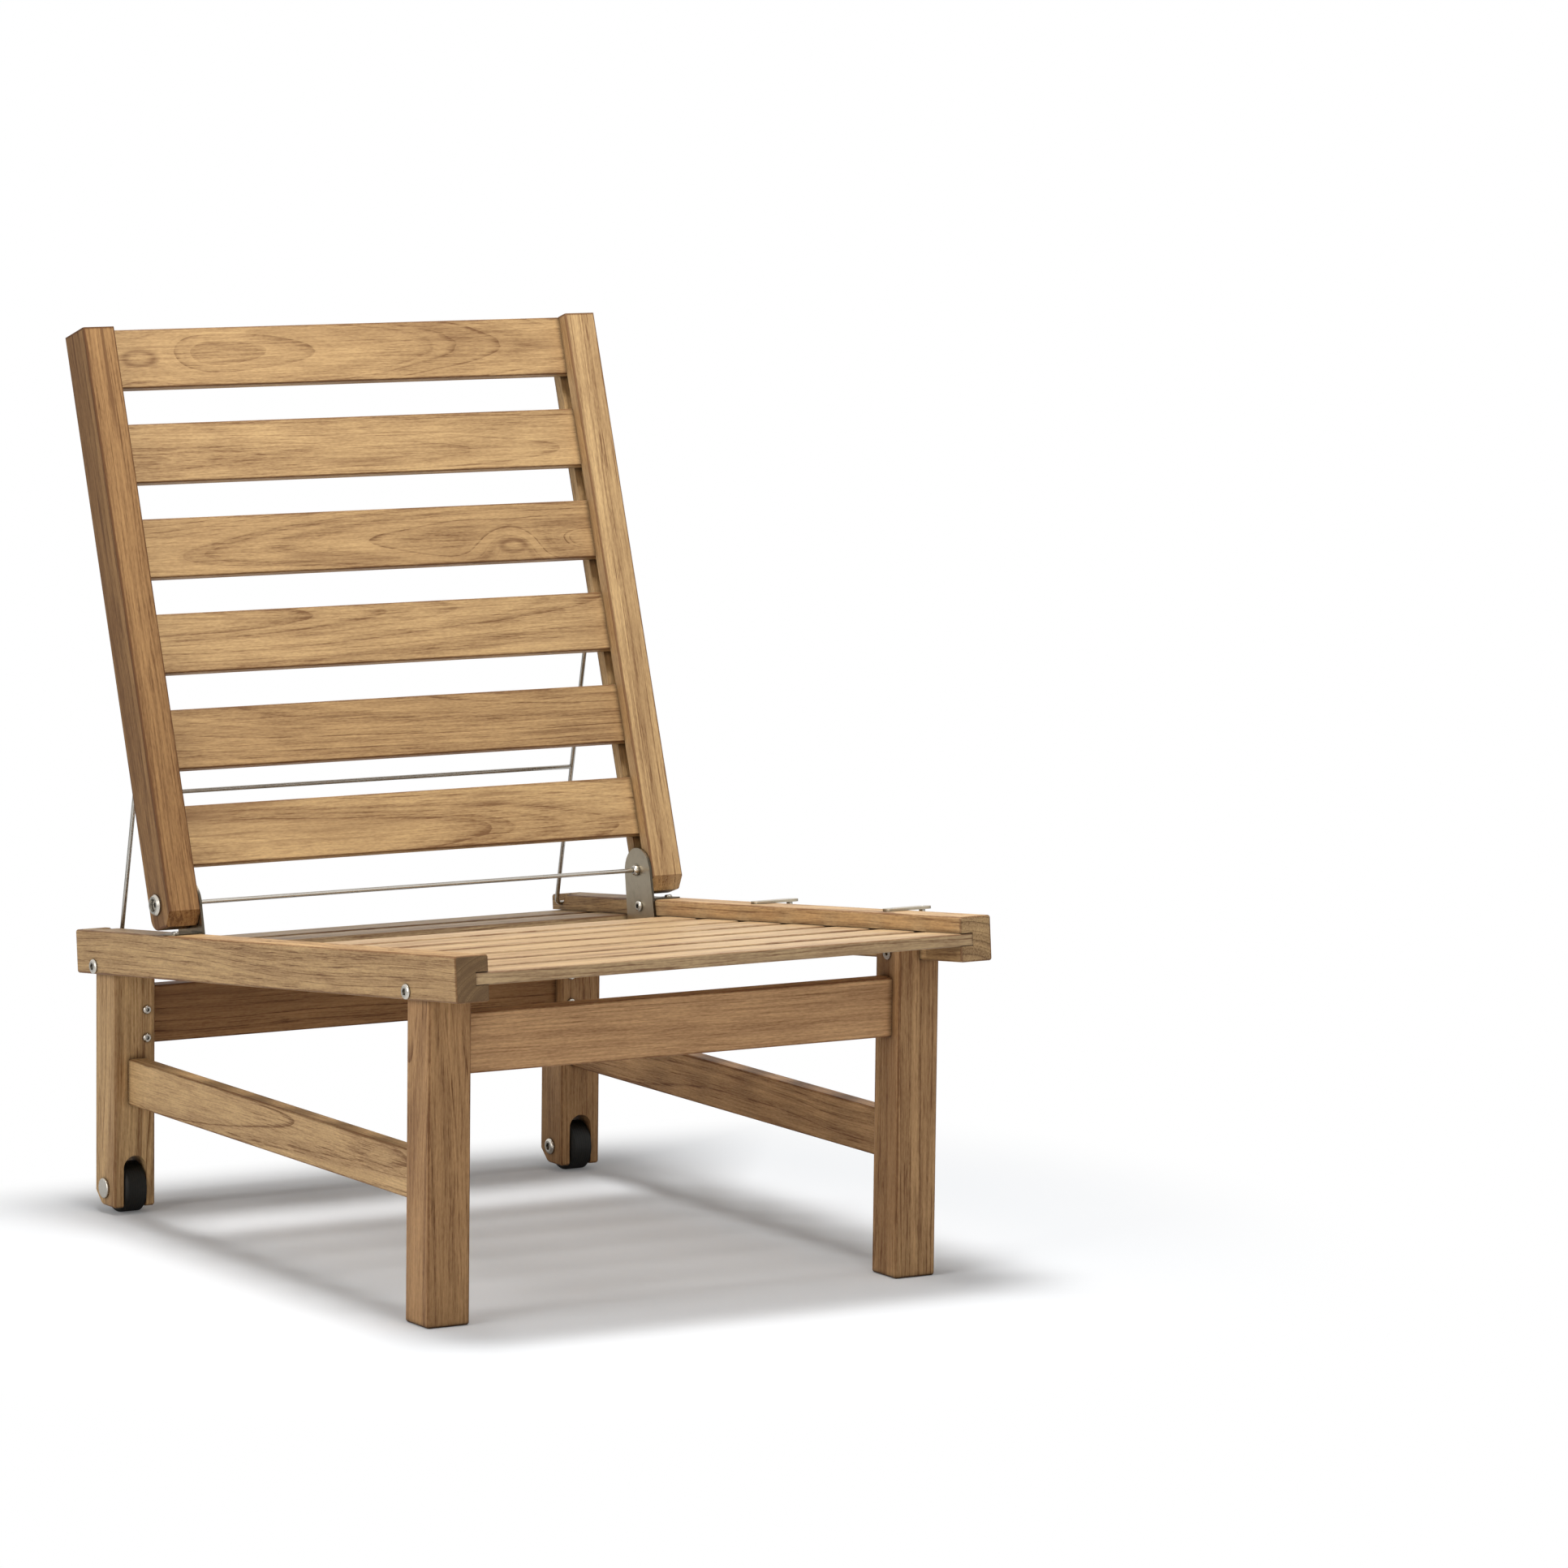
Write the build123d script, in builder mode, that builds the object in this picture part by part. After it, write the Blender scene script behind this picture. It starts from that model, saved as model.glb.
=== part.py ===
"""Low teak lounge chair without arms, whose slatted back folds forward over the seat.

Millimetres, +Z up, the sitter faces -Y. The origin is on the floor, on the chair's middle plane,
halfway between the front legs' front faces and the rear legs' rear faces. Left and right are as
seen from the front, so left is -X.
"""
import os
from math import cos, radians, sin, sqrt, tan

from build123d import *

os.makedirs("parts", exist_ok=True)

SIDES = ((-1, "left"), (1, "right"))
ENDS = (("front", -1), ("rear", 1))

# Working values shared by all pieces
overrun = 2.0
running_clearance = 0.1
seat_clearance = 0.3
arris = 2.0
quarter_turn = 90.0

# Underframe
frame_width = 642.0
leg_spread = 790.0
leg_width = 52.0
leg_depth = 50.0
leg_arris = 3.5
rear_leg_lift = 8.5
heel_chamfer_back = 20.0
heel_chamfer_rise = 18.0

# Seat, measured square to the rails' sloping tops
seat_slope = 5.74
seat_height = 365.8
rail_width = 40.0
rail_height = 50.0
rail_overhang = 14.0
rail_front_reach = 80.0
rail_rear_reach = 23.0
rail_arris = 3.0
seat_slat_width = 70.0
seat_slat_thickness = 14.0
seat_slat_drop = 18.5
seat_groove_depth = 16.0
seat_groove_play = 0.5
front_slat_count = 7
rear_slat_count = 2
front_slat_to_bracket = 16.7
bracket_to_rear_slat = 6.0
rear_slat_to_rail_end = 13.2

# Aprons and side stretchers
apron_height = 66.0
apron_thickness = 22.0
front_apron_setback = 15.0
front_apron_drop = 96.4
rear_apron_setback = 16.0
rear_apron_drop = 170.3
stretcher_height = 53.0
stretcher_thickness = 22.0
stretcher_inset = 17.6
stretcher_to_rear_apron = 14.3
tenon_length = 24.0
tenon_thickness = 12.0
tenon_shoulder = 3.0

# Back, measured up and square to the stiles from the hinge axis
hinge_to_rail_end = 209.0
recline = 18.7
stile_reach = 664.0
stile_width = 39.5
stile_depth = 49.3
stile_front = 29.0
stile_tail = 28.2
tail_to_rail = 5.8
tail_bevel_height = 15.4
tail_bevel_depth = 14.0
tail_rounding = 15.0
back_slat_count = 6
back_slat_width = 69.0
back_slat_rise = 40.0
back_slat_thickness = 15.5
back_slat_setback = 16.8
back_groove_depth = 15.5
back_groove_play = 1.2

# Hinge brackets and the rod between them
bracket_thickness = 3.0
bracket_crown = 28.5
bracket_crown_drop = 2.5
bracket_toe = 38.5
bracket_heel = 26.0
bracket_foot_gap = 5.0
bracket_corner = 4.0
flange_length = 28.0
flange_reach = 36.0
flange_let_in = 1.5
bracket_to_stile = 0.5
pivot_shank_diameter = 8.0
pivot_head_diameter = 24.0
pivot_head_height = 4.5
pivot_rim_height = 1.8
pivot_crown_diameter = 20.0
pivot_recess_diameter = 15.0
pivot_recess_depth = 3.2
pivot_key_diameter = 6.8
pivot_key_depth = 3.0
hinge_rod_diameter = 5.0
collar_diameter = 12.4
collar_height = 6.0
bracket_bolt_drop = 7.8
bracket_bolt_lead = 3.0

# Prop frame of bent wire behind the back
prop_wire_diameter = 5.0
prop_to_rail = 4.5
prop_bend_radius = 6.0
prop_hinge_back = 12.3
prop_length = 357.5
prop_foot_back = 186.0
prop_foot_drop = 9.4
prop_bar_reach = 187.0
prop_pin_depth = 18.0
prop_foot_pin_depth = 17.0
notch_wall_angle = 48.0
notch_end_gap = 1.5

# Wheels in the rear legs
wheel_diameter = 58.0
wheel_width = 26.0
wheel_shoulder = 5.0
wheel_side_gap = 1.5
wheel_slot_headroom = 10.5
hub_diameter = 30.0
hub_recess = 1.5
hub_rim = 4.0
axle_diameter = 8.0
axle_head_diameter = 19.0
axle_head_height = 4.0
axle_cap_diameter = 23.0
axle_cap_height = 3.0
axle_cap_boss_diameter = 12.0

# Socket-head fasteners
rail_bolt_diameter = 6.0
rail_bolt_head_diameter = 17.0
rail_bolt_head_height = 3.2
rail_bolt_drop = 41.0
sleeve_diameter = 10.0
sleeve_flange_diameter = 15.0
sleeve_flange_height = 1.6
apron_screw_diameter = 5.0
apron_screw_head_diameter = 10.0
apron_screw_head_height = 3.0
apron_screw_length = 30.0
apron_screw_inset = 11.5
apron_screw_rise = 9.0
apron_screw_spacing = 32.5
bracket_bolt_diameter = 6.0
bracket_bolt_head_diameter = 12.4
bracket_bolt_head_height = 3.6
bracket_bolt_length = 18.0
flange_screw_diameter = 4.0
flange_screw_head_diameter = 9.0
flange_screw_head_height = 2.3
flange_screw_length = 15.0

# Link plates that join this chair to one standing at its right
link_length = 60.0
link_width = 20.0
link_thickness = 3.0
link_screw_inset = 18.5
link_pitch = 40.0
link_screw_diameter = 4.5
link_screw_head_diameter = 8.6
link_screw_length = 18.0
link_key_diameter = 3.4
link_key_depth = 1.7
link_peg_diameter = 7.0
link_peg_length = 12.0
link_hole_diameter = 7.6
link_hole_depth = 14.0
chair_gap = 3.0
first_link_back = 173.0
link_spacing = 282.5

# Shares of the named sizes
socket_share = 0.5
socket_depth_share = 0.6
rim_share = 0.4
crown_share = 0.55
dome_bulge_share = 0.25

# Places worked out from the sizes above
half_frame = frame_width / 2
half_spread = leg_spread / 2
rail_outer = half_frame + rail_overhang
rail_inner = rail_outer - rail_width
leg_inner = half_frame - leg_width
leg_lap = rail_inner - leg_inner
slope_cos = cos(radians(seat_slope))
slope_sin = sin(radians(seat_slope))
rail_front = -half_spread / slope_cos - rail_front_reach
rail_rear = half_spread / slope_cos + rail_rear_reach
rail_length = rail_rear - rail_front
slat_floor_drop = seat_slat_drop + seat_slat_thickness
front_apron_bottom = seat_height - front_apron_drop
rear_apron_bottom = seat_height - rear_apron_drop
stretcher_bottom = rear_apron_bottom - stretcher_to_rear_apron - stretcher_height
pivot_back = rail_rear - hinge_to_rail_end
pivot_rise = stile_tail + tail_to_rail
recline_cos = cos(radians(recline))
recline_sin = sin(radians(recline))
stile_rear = stile_depth - stile_front
stile_inner = rail_inner + bracket_to_stile
stile_outer = stile_inner + stile_width
back_slats_span = stile_reach - back_slat_rise - back_slat_width
wheel_radius = wheel_diameter / 2
wheel_slot_width = wheel_width + 2 * wheel_side_gap
wire_radius = prop_wire_diameter / 2
prop_half_width = rail_inner - prop_to_rail - wire_radius


def seat_point(x, along, rise):
    """Point in the chair's frame of a place on the sloping seat."""
    y = along * slope_cos + rise * slope_sin
    z = seat_height - along * slope_sin + rise * slope_cos
    return (x, y, z)


def seat_side_plane(x, along, rise):
    """Plane facing +X with its first axis down the rail to the rear and its second square to it."""
    return Plane(seat_point(x, along, rise), x_dir=(0, slope_cos, -slope_sin), z_dir=(1, 0, 0))


def seat_top_plane(x, along, rise):
    """Plane square to the rails' tops, with its second axis down the rail to the rear."""
    return Plane(seat_point(x, along, rise), x_dir=(1, 0, 0), z_dir=(0, slope_sin, slope_cos))


_, pivot_y, pivot_z = seat_point(0, pivot_back, pivot_rise)


def back_point(x, up, front):
    """Point in the chair's frame of a place measured up the stiles and forward of their axis."""
    y = pivot_y + up * recline_sin - front * recline_cos
    z = pivot_z + up * recline_cos + front * recline_sin
    return (x, y, z)


def back_side_plane(x, up, front):
    """Plane facing +X with its first axis square to the back, rearward, and its second up it."""
    return Plane(back_point(x, up, front), x_dir=(0, recline_cos, -recline_sin), z_dir=(1, 0, 0))


def along_at(y, rise):
    """Place along the rail of a point at a given Y and rise above the rail's top."""
    return (y - rise * slope_sin) / slope_cos


def height_at(y, rise):
    """Height above the floor at a given Y of the plane that lies a rise above the rails' tops."""
    return seat_point(0, along_at(y, rise), rise)[2]


def facing_out(side, distance, point):
    """Plane at a point, at a distance from the middle plane on one side, facing away from it."""
    return Plane((side * distance, point[1], point[2]), x_dir=(0, side, 0), z_dir=(side, 0, 0))


def facing_in(side, distance, point):
    """Plane at a point, at a distance from the middle plane on one side, facing towards it."""
    return Plane((side * distance, point[1], point[2]), x_dir=(0, -side, 0), z_dir=(-side, 0, 0))


def low(side, inner, width):
    """Least X of a span that starts at a distance from the middle plane on one side."""
    return inner if side > 0 else -inner - width


def keep(part, name):
    """Labels one finished piece and writes it."""
    part.label = name
    export_step(part, f"parts/{name}.step")


def socket_screw(plane, head_diameter, head_height, shank_diameter, shank_length):
    """Adds a domed head with a hexagon socket, standing on a plane, and its shank below it."""
    rim = head_height * rim_share
    crown_radius = head_diameter / 2 * crown_share
    with BuildSketch(Plane(plane.origin, x_dir=plane.x_dir, z_dir=-plane.y_dir)) as profile:
        with BuildLine():
            Polyline(
                (crown_radius, head_height),
                (0, head_height),
                (0, -shank_length),
                (shank_diameter / 2, -shank_length),
                (shank_diameter / 2, 0),
                (head_diameter / 2, 0),
                (head_diameter / 2, rim),
            )
            SagittaArc(
                (head_diameter / 2, rim),
                (crown_radius, head_height),
                -head_height * dome_bulge_share,
            )
        make_face()
    revolve(profile.sketch, axis=Axis(plane.origin, plane.z_dir))
    hexagon_socket(
        plane.offset(head_height), head_diameter * socket_share, head_height * socket_depth_share
    )


def turned(plane, outline, mode=Mode.ADD):
    """Turns a closed outline of (radius, height) points about the axis of a plane."""
    with BuildSketch(Plane(plane.origin, x_dir=plane.x_dir, z_dir=-plane.y_dir)) as profile:
        with BuildLine():
            Polyline(*outline, close=True)
        make_face()
    revolve(profile.sketch, axis=Axis(plane.origin, plane.z_dir), mode=mode)


def hexagon_socket(plane, diameter, depth):
    """Cuts a hexagon socket into the part in hand, from a plane down."""
    with BuildSketch(plane) as socket:
        RegularPolygon(diameter / 2, 6)
    extrude(socket.sketch, amount=-depth, mode=Mode.SUBTRACT)


def sunk_head(plane, play, mode=Mode.ADD):
    """Cone of a link screw's flush head, or the play-widened seat for it, below a plane."""
    head_radius = link_screw_head_diameter / 2 + play
    neck_radius = link_screw_diameter / 2 + play
    outline = ((0, 0), (head_radius, 0), (neck_radius, neck_radius - head_radius), (0, -link_thickness))
    turned(plane, outline, mode)


def round_bore(plane, diameter, depth):
    """Cuts a round hole into the part in hand, from a plane down against its facing."""
    with BuildSketch(plane.offset(overrun)) as mouth:
        Circle(diameter / 2)
    extrude(mouth.sketch, amount=-depth - overrun, mode=Mode.SUBTRACT)


def side_box(plane, first, second, width, mode=Mode.ADD):
    """Extrudes the rectangle between two corners of a side plane by a width along +X."""
    with BuildSketch(plane) as section:
        with Locations(((first[0] + second[0]) / 2, (first[1] + second[1]) / 2)):
            Rectangle(abs(second[0] - first[0]), abs(second[1] - first[1]))
    extrude(section.sketch, amount=width, mode=mode)


# Places that several pieces share
rail_bolt_points = [
    seat_point(0, along_at(way * (half_spread - leg_depth / 2), -rail_bolt_drop), -rail_bolt_drop)
    for _, way in ENDS
]
bracket_bolt_rises = (-bracket_bolt_drop, -(slat_floor_drop + rail_height) / 2)
bracket_bolt_points = [
    seat_point(0, pivot_back - bracket_bolt_lead, rise) for rise in bracket_bolt_rises
]
bracket_bottom = -rail_height + bracket_foot_gap - pivot_rise
toe_slope = (bracket_toe - bracket_crown) / (-bracket_crown_drop - bracket_bottom)
flange_front = pivot_back - bracket_crown - toe_slope * (pivot_rise - bracket_crown_drop)
flange_screw_along = flange_front + flange_length / 2
flange_screw_x = rail_inner + flange_reach - flange_screw_head_diameter
foot_along = pivot_back + prop_foot_back
prop_foot = seat_point(0, foot_along, -prop_foot_drop)
foot_behind_pivot = prop_foot[1] - pivot_y
foot_below_pivot = pivot_z - prop_foot[2]
foot_down_back = foot_below_pivot * recline_cos - foot_behind_pivot * recline_sin
foot_off_back = foot_behind_pivot * recline_cos + foot_below_pivot * recline_sin
prop_hinge_reach = sqrt(prop_length**2 - (foot_off_back - prop_hinge_back) ** 2) - foot_down_back
prop_hinge = back_point(0, prop_hinge_reach, -prop_hinge_back)
prop_lean_sin = (prop_foot[1] - prop_hinge[1]) / prop_length
prop_lean_cos = (prop_hinge[2] - prop_foot[2]) / prop_length
link_alongs = (rail_front + first_link_back, rail_front + first_link_back + link_spacing)
link_screw_x = rail_outer - link_screw_inset
link_peg_x = link_screw_x + link_pitch
link_hole_x = link_peg_x - 2 * rail_outer - chair_gap
axle_point = (0, half_spread - leg_depth / 2, wheel_radius)
apron_screw_heights = [apron_screw_rise, apron_screw_rise + apron_screw_spacing]
apron_places = {
    "front": (-half_spread + front_apron_setback, front_apron_bottom),
    "rear": (half_spread - leg_depth + rear_apron_setback, rear_apron_bottom),
}

# Seat rails
# Each is one length of teak laid on the legs' outer halves. A groove along its inner face takes
# the seat slats' ends, its top is let in for the hinge bracket, and a notch seats the prop's foot.
notch_radius = wire_radius + seat_clearance
notch_depth = prop_foot_pin_depth + notch_end_gap
notch_wall = radians(notch_wall_angle)
notch_tangent_x = notch_radius * sin(notch_wall)
notch_tangent_y = -notch_radius * cos(notch_wall)
notch_top = overrun + prop_foot_drop
notch_half_mouth = notch_tangent_x + (notch_top - notch_tangent_y) / tan(notch_wall)
for side, word in SIDES:
    rail_low = low(side, rail_inner, rail_width)
    groove_low = low(side, rail_inner, seat_groove_depth)
    rail_end = Plane(
        seat_point(rail_low + rail_width / 2, rail_rear, -rail_height / 2),
        x_dir=(1, 0, 0),
        z_dir=(0, -slope_cos, slope_sin),
    )
    with BuildPart() as seat_rail:
        with BuildSketch(rail_end):
            RectangleRounded(rail_width, rail_height, rail_arris)
        extrude(amount=rail_length)
        rail_ends = seat_rail.faces().filter_by(Axis(rail_end.origin, rail_end.z_dir))
        fillet(rail_ends.edges(), arris)
        side_box(
            seat_side_plane(groove_low, 0, 0),
            (rail_front - overrun, -slat_floor_drop),
            (rail_rear + overrun, -seat_slat_drop + seat_groove_play),
            seat_groove_depth,
            Mode.SUBTRACT,
        )
        side_box(
            seat_side_plane(low(side, rail_inner, flange_reach + seat_clearance), 0, 0),
            (flange_front - seat_clearance, -flange_let_in),
            (flange_front + flange_length + seat_clearance, overrun),
            flange_reach + seat_clearance,
            Mode.SUBTRACT,
        )
        with BuildSketch(
            seat_side_plane(low(side, rail_inner, notch_depth), foot_along, -prop_foot_drop)
        ):
            Circle(notch_radius)
            with BuildLine():
                Polyline(
                    (0, 0),
                    (notch_tangent_x, notch_tangent_y),
                    (notch_half_mouth, notch_top),
                    (-notch_half_mouth, notch_top),
                    (-notch_tangent_x, notch_tangent_y),
                    close=True,
                )
            make_face()
        extrude(amount=notch_depth, mode=Mode.SUBTRACT)
        for point in rail_bolt_points:
            round_bore(
                facing_out(side, rail_outer, point),
                rail_bolt_diameter + 2 * running_clearance,
                rail_width + overrun,
            )
        for point in bracket_bolt_points:
            round_bore(
                facing_in(side, rail_inner, point),
                bracket_bolt_diameter + 2 * running_clearance,
                bracket_bolt_length,
            )
        round_bore(
            seat_top_plane(side * flange_screw_x, flange_screw_along, 0),
            flange_screw_diameter + 2 * running_clearance,
            flange_screw_length,
        )
        for along in link_alongs:
            if side > 0:
                round_bore(
                    seat_top_plane(link_screw_x, along, 0),
                    link_screw_diameter + 2 * running_clearance,
                    link_screw_length - link_thickness + seat_clearance,
                )
            else:
                round_bore(seat_top_plane(link_hole_x, along, 0), link_hole_diameter, link_hole_depth)
    keep(seat_rail.part, f"seat_rail_{word}")

# Legs
# A leg's outer half stops under the rail. Its inner half runs on up beside the rail's inner face
# to the seat slats' undersides. The rear legs are forked at the foot for a wheel each.
slot_top = wheel_diameter + wheel_slot_headroom
half_slot = wheel_slot_width / 2
stretcher_tenon_inner = half_frame - stretcher_inset - (stretcher_thickness + tenon_thickness) / 2
for end, way in ENDS:
    leg_front = -half_spread if way < 0 else half_spread - leg_depth
    leg_rear = leg_front + leg_depth
    leg_bottom = 0 if way < 0 else rear_leg_lift
    inner_face_y = leg_rear if way < 0 else leg_front
    apron_y, apron_bottom = apron_places[end]
    for side, word in SIDES:
        with BuildPart() as leg:
            for inner, width, rise in (
                (leg_inner, leg_lap, -slat_floor_drop),
                (rail_inner, leg_width - leg_lap, -rail_height),
            ):
                with BuildSketch(Plane.YZ.offset(low(side, inner, width))):
                    with BuildLine():
                        Polyline(
                            (leg_front, leg_bottom),
                            (leg_rear, leg_bottom),
                            (leg_rear, height_at(leg_rear, rise)),
                            (leg_front, height_at(leg_front, rise)),
                            close=True,
                        )
                    make_face()
                extrude(amount=width)
            corners = leg.edges().filter_by(Axis.Z).sort_by(SortBy.LENGTH)[-4:]
            fillet(corners, leg_arris)
            fillet(leg.faces().sort_by(Axis.Z)[0].edges(), leg_arris)
            side_box(
                Plane.YZ.offset(low(side, leg_inner - overrun, tenon_length + seat_clearance + overrun)),
                (apron_y + (apron_thickness - tenon_thickness) / 2, apron_bottom + tenon_shoulder),
                (
                    apron_y + (apron_thickness + tenon_thickness) / 2,
                    apron_bottom + apron_height - tenon_shoulder,
                ),
                tenon_length + seat_clearance + overrun,
                Mode.SUBTRACT,
            )
            side_box(
                Plane.YZ.offset(low(side, stretcher_tenon_inner, tenon_thickness)),
                (inner_face_y - way * overrun, stretcher_bottom + tenon_shoulder),
                (
                    inner_face_y + way * (tenon_length + seat_clearance),
                    stretcher_bottom + stretcher_height - tenon_shoulder,
                ),
                tenon_thickness,
                Mode.SUBTRACT,
            )
            round_bore(
                facing_in(side, leg_inner, rail_bolt_points[(way + 1) // 2]),
                sleeve_diameter + 2 * running_clearance,
                leg_lap + overrun,
            )
            for rise in apron_screw_heights:
                screw_x = side * (leg_inner + apron_screw_inset)
                round_bore(
                    Plane((screw_x, inner_face_y, apron_bottom + rise), z_dir=(0, -way, 0)),
                    apron_screw_diameter + 2 * running_clearance,
                    apron_screw_length,
                )
            if way > 0:
                slot_centre = (side * (half_frame - leg_width / 2), leg_front - overrun, 0)
                with BuildSketch(Plane(slot_centre, x_dir=(1, 0, 0), z_dir=(0, 1, 0))):
                    with BuildLine():
                        Polyline(
                            (-half_slot, half_slot - slot_top),
                            (-half_slot, 0),
                            (half_slot, 0),
                            (half_slot, half_slot - slot_top),
                        )
                        ThreePointArc(
                            (half_slot, half_slot - slot_top),
                            (0, -slot_top),
                            (-half_slot, half_slot - slot_top),
                        )
                    make_face()
                extrude(amount=leg_depth + 2 * overrun, mode=Mode.SUBTRACT)
                with BuildSketch(Plane.YZ.offset(low(side, leg_inner - overrun, leg_width + 2 * overrun))):
                    with BuildLine():
                        Polyline(
                            (leg_rear, leg_bottom + heel_chamfer_rise),
                            (leg_rear - heel_chamfer_back, leg_bottom),
                            (leg_rear - heel_chamfer_back, leg_bottom - overrun),
                            (leg_rear + overrun, leg_bottom - overrun),
                            (leg_rear + overrun, leg_bottom + heel_chamfer_rise),
                            close=True,
                        )
                    make_face()
                extrude(amount=leg_width + 2 * overrun, mode=Mode.SUBTRACT)
                round_bore(
                    facing_in(side, leg_inner, axle_point),
                    axle_diameter + 2 * running_clearance,
                    leg_width / 2,
                )
                round_bore(
                    facing_out(side, half_frame, axle_point),
                    axle_cap_boss_diameter + 2 * running_clearance,
                    leg_width / 2,
                )
        keep(leg.part, f"{end}_leg_{word}")

# Aprons
# One crosspiece between each pair of legs, tenoned into their inner faces. Two screws from the
# leg's face towards the middle of the chair pin each tenon.
for end, way in ENDS:
    apron_y, apron_bottom = apron_places[end]
    with BuildPart() as apron:
        with BuildSketch(Plane.YZ.offset(-leg_inner)):
            with Locations((apron_y + apron_thickness / 2, apron_bottom + apron_height / 2)):
                RectangleRounded(apron_thickness, apron_height, arris)
        extrude(amount=2 * leg_inner)
        side_box(
            Plane.YZ.offset(-leg_inner - tenon_length),
            (apron_y + (apron_thickness - tenon_thickness) / 2, apron_bottom + tenon_shoulder),
            (
                apron_y + (apron_thickness + tenon_thickness) / 2,
                apron_bottom + apron_height - tenon_shoulder,
            ),
            2 * (leg_inner + tenon_length),
        )
        inner_face_y = -half_spread + leg_depth if way < 0 else half_spread - leg_depth
        for side, _ in SIDES:
            for rise in apron_screw_heights:
                screw_x = side * (leg_inner + apron_screw_inset)
                round_bore(
                    Plane((screw_x, inner_face_y, apron_bottom + rise), z_dir=(0, -way, 0)),
                    apron_screw_diameter + 2 * running_clearance,
                    apron_screw_length + overrun,
                )
    keep(apron.part, f"{end}_apron")

    with BuildPart() as apron_screws:
        for side, _ in SIDES:
            for rise in apron_screw_heights:
                screw_x = side * (leg_inner + apron_screw_inset)
                socket_screw(
                    Plane((screw_x, inner_face_y, apron_bottom + rise), z_dir=(0, -way, 0)),
                    apron_screw_head_diameter,
                    apron_screw_head_height,
                    apron_screw_diameter,
                    apron_screw_length - overrun,
                )
    keep(apron_screws.part, f"{end}_apron_screws")

# Side stretchers
# One low rail between the front and the rear leg of each side, tenoned into both.
stretcher_front = -half_spread + leg_depth
stretcher_length = leg_spread - 2 * leg_depth
for side, word in SIDES:
    stretcher_low = low(side, half_frame - stretcher_inset - stretcher_thickness, stretcher_thickness)
    with BuildPart() as stretcher:
        with BuildSketch(
            Plane(
                (
                    stretcher_low + stretcher_thickness / 2,
                    stretcher_front,
                    stretcher_bottom + stretcher_height / 2,
                ),
                x_dir=(-1, 0, 0),
                z_dir=(0, 1, 0),
            )
        ):
            RectangleRounded(stretcher_thickness, stretcher_height, arris)
        extrude(amount=stretcher_length)
        side_box(
            Plane.YZ.offset(stretcher_low + (stretcher_thickness - tenon_thickness) / 2),
            (stretcher_front - tenon_length, stretcher_bottom + tenon_shoulder),
            (
                stretcher_front + stretcher_length + tenon_length,
                stretcher_bottom + stretcher_height - tenon_shoulder,
            ),
            tenon_thickness,
        )
    keep(stretcher.part, f"side_stretcher_{word}")

# Seat slats
# Seven lie ahead of the hinge brackets, the first flush with the rails' front ends, and two behind
# them. The opening between the two groups leaves room for the brackets.
front_slats_end = pivot_back - bracket_toe - front_slat_to_bracket
front_slat_pitch = (front_slats_end - seat_slat_width - rail_front) / (front_slat_count - 1)
rear_slats_front = pivot_back + bracket_heel + bracket_to_rear_slat
last_slat_front = rail_rear - rear_slat_to_rail_end - seat_slat_width
rear_slat_pitch = (last_slat_front - rear_slats_front) / (rear_slat_count - 1)
slat_fronts = [rail_front + count * front_slat_pitch for count in range(front_slat_count)]
slat_fronts += [rear_slats_front + count * rear_slat_pitch for count in range(rear_slat_count)]
seat_slat_reach = rail_inner + seat_groove_depth - seat_clearance
for number, slat_front in enumerate(slat_fronts, start=1):
    with BuildPart() as seat_slat:
        with BuildSketch(
            seat_side_plane(
                -seat_slat_reach,
                slat_front + seat_slat_width / 2,
                -seat_slat_drop - seat_slat_thickness / 2,
            )
        ):
            RectangleRounded(seat_slat_width, seat_slat_thickness, arris)
        extrude(amount=2 * seat_slat_reach)
    keep(seat_slat.part, f"seat_slat_{number}")

# Back stiles
# The stile's foot is rounded behind and bevelled in front, so that it swings clear of the rail as
# the back folds. A groove down its inner face takes the back slats' ends.
groove_front = stile_front - back_slat_setback
groove_width = back_slat_thickness + back_groove_play
for side, word in SIDES:
    stile_low = low(side, stile_inner, stile_width)
    with BuildPart() as stile:
        with BuildSketch(back_side_plane(stile_low, 0, 0)):
            with BuildLine():
                Polyline(
                    (stile_rear, tail_rounding - stile_tail),
                    (stile_rear, stile_reach),
                    (-stile_front, stile_reach),
                    (-stile_front, tail_bevel_height - stile_tail),
                    (tail_bevel_depth - stile_front, -stile_tail),
                    (stile_rear - tail_rounding, -stile_tail),
                )
                JernArc(
                    start=(stile_rear - tail_rounding, -stile_tail),
                    tangent=(1, 0),
                    radius=tail_rounding,
                    arc_size=quarter_turn,
                )
            make_face()
        extrude(amount=stile_width)
        up_the_stile = Axis((0, 0, 0), (0, recline_sin, recline_cos))
        fillet(stile.edges().filter_by(up_the_stile), arris)
        side_box(
            back_side_plane(low(side, stile_inner, back_groove_depth), 0, 0),
            (-groove_front, -stile_tail - overrun),
            (groove_width - groove_front, stile_reach + overrun),
            back_groove_depth,
            Mode.SUBTRACT,
        )
        round_bore(
            facing_out(side, stile_outer, (0, pivot_y, pivot_z)),
            pivot_shank_diameter + 2 * running_clearance,
            stile_width + overrun,
        )
        round_bore(
            facing_in(side, stile_inner, prop_hinge),
            prop_wire_diameter + 2 * running_clearance,
            prop_pin_depth + notch_end_gap,
        )
    keep(stile.part, f"back_stile_{word}")

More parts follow.
